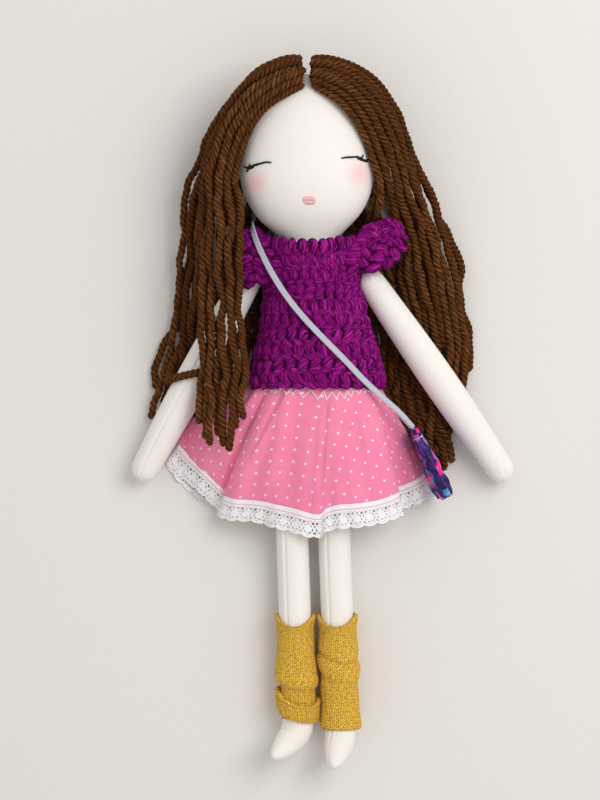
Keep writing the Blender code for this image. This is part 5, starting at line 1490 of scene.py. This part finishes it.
# painted shade and highlight: the cord is darker in the grooves between its ribs and lighter on their crests
cord.set({"Base Color": cord.mix(ribbing.ramp(-0.9, 0.9), (0.40, 0.40, 0.49), (0.66, 0.66, 0.72))})
cord.bump(ribbing, 0.00018, 0.6)
strap = surface.make("flat_strap", cord.material)
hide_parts("bag_strap")
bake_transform(strap)


# Bag
# A small pouch sewn from one folded piece of printed cotton, with a turned hem round its mouth, held by a
# line of white stitches. It hangs on its edge beside the skirt, limp and a little crumpled.

BAG_MOUTH = (0.063, -0.056, 0.024)
BAG_SPLAY = 29.5
BAG_LENGTH = 0.050
BAG_WIDTH = 0.036
BAG_SKEW = -0.0075
BAG_HEM = 0.0062
BAG_CRUMPLE = 0.0008

pouch = smoothed("printed_pouch", "bag_pouch", 3)
points, normals = points_and_normals(pouch.data)
down_way = np.array((math.sin(math.radians(BAG_SPLAY)), -math.cos(math.radians(BAG_SPLAY)), 0))
side_way = np.array((down_way[1], -down_way[0], 0))
from_mouth = points - BAG_MOUTH
down, sideways, level = from_mouth @ down_way, from_mouth @ side_way, from_mouth[:, 2]
crumple = np.sin(down * 260 + level * 190) * 0.5 + np.sin(down * 140 - level * 330 + 1.2) * 0.5
crumple += 0.5 * np.sin(down * 520 + level * 90 + np.sin(level * 400))
hem_dent = np.exp(-(((down - BAG_HEM) / 0.0006) ** 2))
hem_roll = np.exp(-(((down - BAG_HEM / 2) / 0.0022) ** 2))
edge = np.exp(-((np.abs(sideways) / 0.0009) ** 2))
fade = np.clip(down / 0.012, 0, 1)
slack = np.clip(down / BAG_LENGTH, 0, 1)
points[:, 0] -= 0.0046 * slack**1.2
points += side_way * (BAG_SKEW * slack**1.5 * level / BAG_WIDTH + 0.8 * sideways * slack**4)[:, None]
relief = BAG_CRUMPLE * crumple * fade - 0.0005 * hem_dent + 0.0004 * hem_roll - 0.0005 * edge * fade
points += normals * relief[:, None]
pouch.data.vertices.foreach_set("co", points.ravel())
layout = pouch.data.uv_layers.new(name="UVMap")
corner = np.empty(len(pouch.data.loops), int)
pouch.data.loops.foreach_get("vertex_index", corner)
flat_place = np.stack([down + 0.11 * (sideways > 0), level + np.abs(sideways) * 0.9], 1)
layout.data.foreach_set("uv", flat_place[corner].ravel())

printed = Finish("printed cotton", (0.03, 0.02, 0.10), 0.8)
place = printed.place("UV")
u, v, _ = printed.parts(place)
bent = printed.noise(120, 2, place)
warped = printed.combined(u * 95 + bent * 1.1, v * 170 + bent * 1.4)
flat_cells = {"voronoi_dimensions": "2D"}
cell_values = {"Vector": warped, "Scale": 1.0, "Randomness": 0.85}
cells = printed.node("ShaderNodeTexVoronoi", flat_cells, cell_values)
shade = printed.node("ShaderNodeTexVoronoi", flat_cells, cell_values, 1)
pick = printed.parts(shade)[0]
petal = cells.ramp(0.50, 0.42)
heart = cells.ramp(0.24, 0.10)
tone = printed.mix(printed.noise(260, 3, place).ramp(0.4, 0.6), (0.016, 0.012, 0.075), (0.035, 0.022, 0.125))
petals = printed.mix(pick.ramp(0.30, 0.32), (0.09, 0.03, 0.32), (0.90, 0.012, 0.26))
petals = printed.mix(pick.ramp(0.52, 0.54), petals, (0.05, 0.30, 0.62))
petals = printed.mix(pick.ramp(0.72, 0.74), petals, (0.62, 0.08, 0.50))
petals = printed.mix(pick.ramp(0.86, 0.88), petals, (0.02, 0.06, 0.22))
tone = printed.mix(petal, tone, petals)
tone = printed.mix(heart * 0.30, tone, (0.75, 0.62, 0.72))
printed.set({"Base Color": tone})
printed.bump(printed.noise(2600, 2, place), 0.0001, 0.5)
pouch.data.materials.append(printed.material)
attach(pouch, "bag")
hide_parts("bag_pouch")

pouch_tree = tree_of(pouch)
line = []
for turn in np.linspace(0, 2 * math.pi, 160, endpoint=False):
    middle = Vector(BAG_MOUTH) + Vector(down_way) * BAG_HEM
    outwards = Vector(side_way) * (0.35 * math.cos(turn)) + Vector((0, 0, math.sin(turn)))
    hit, normal = pouch_tree.ray_cast(middle + outwards.normalized() * 0.05, -outwards.normalized())[:2]
    if hit:
        line.append(hit + normal * 0.00015)
line = curve_through(line + line[:1], 241)
surface = Surface()
for start in range(0, 240, 6):
    thread(surface, line[start:start + 5], 0.00026, 6)
stitches = surface.make("pouch_hem_stitches", white_thread.material)
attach(stitches, "bag")
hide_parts("bag_pouch")
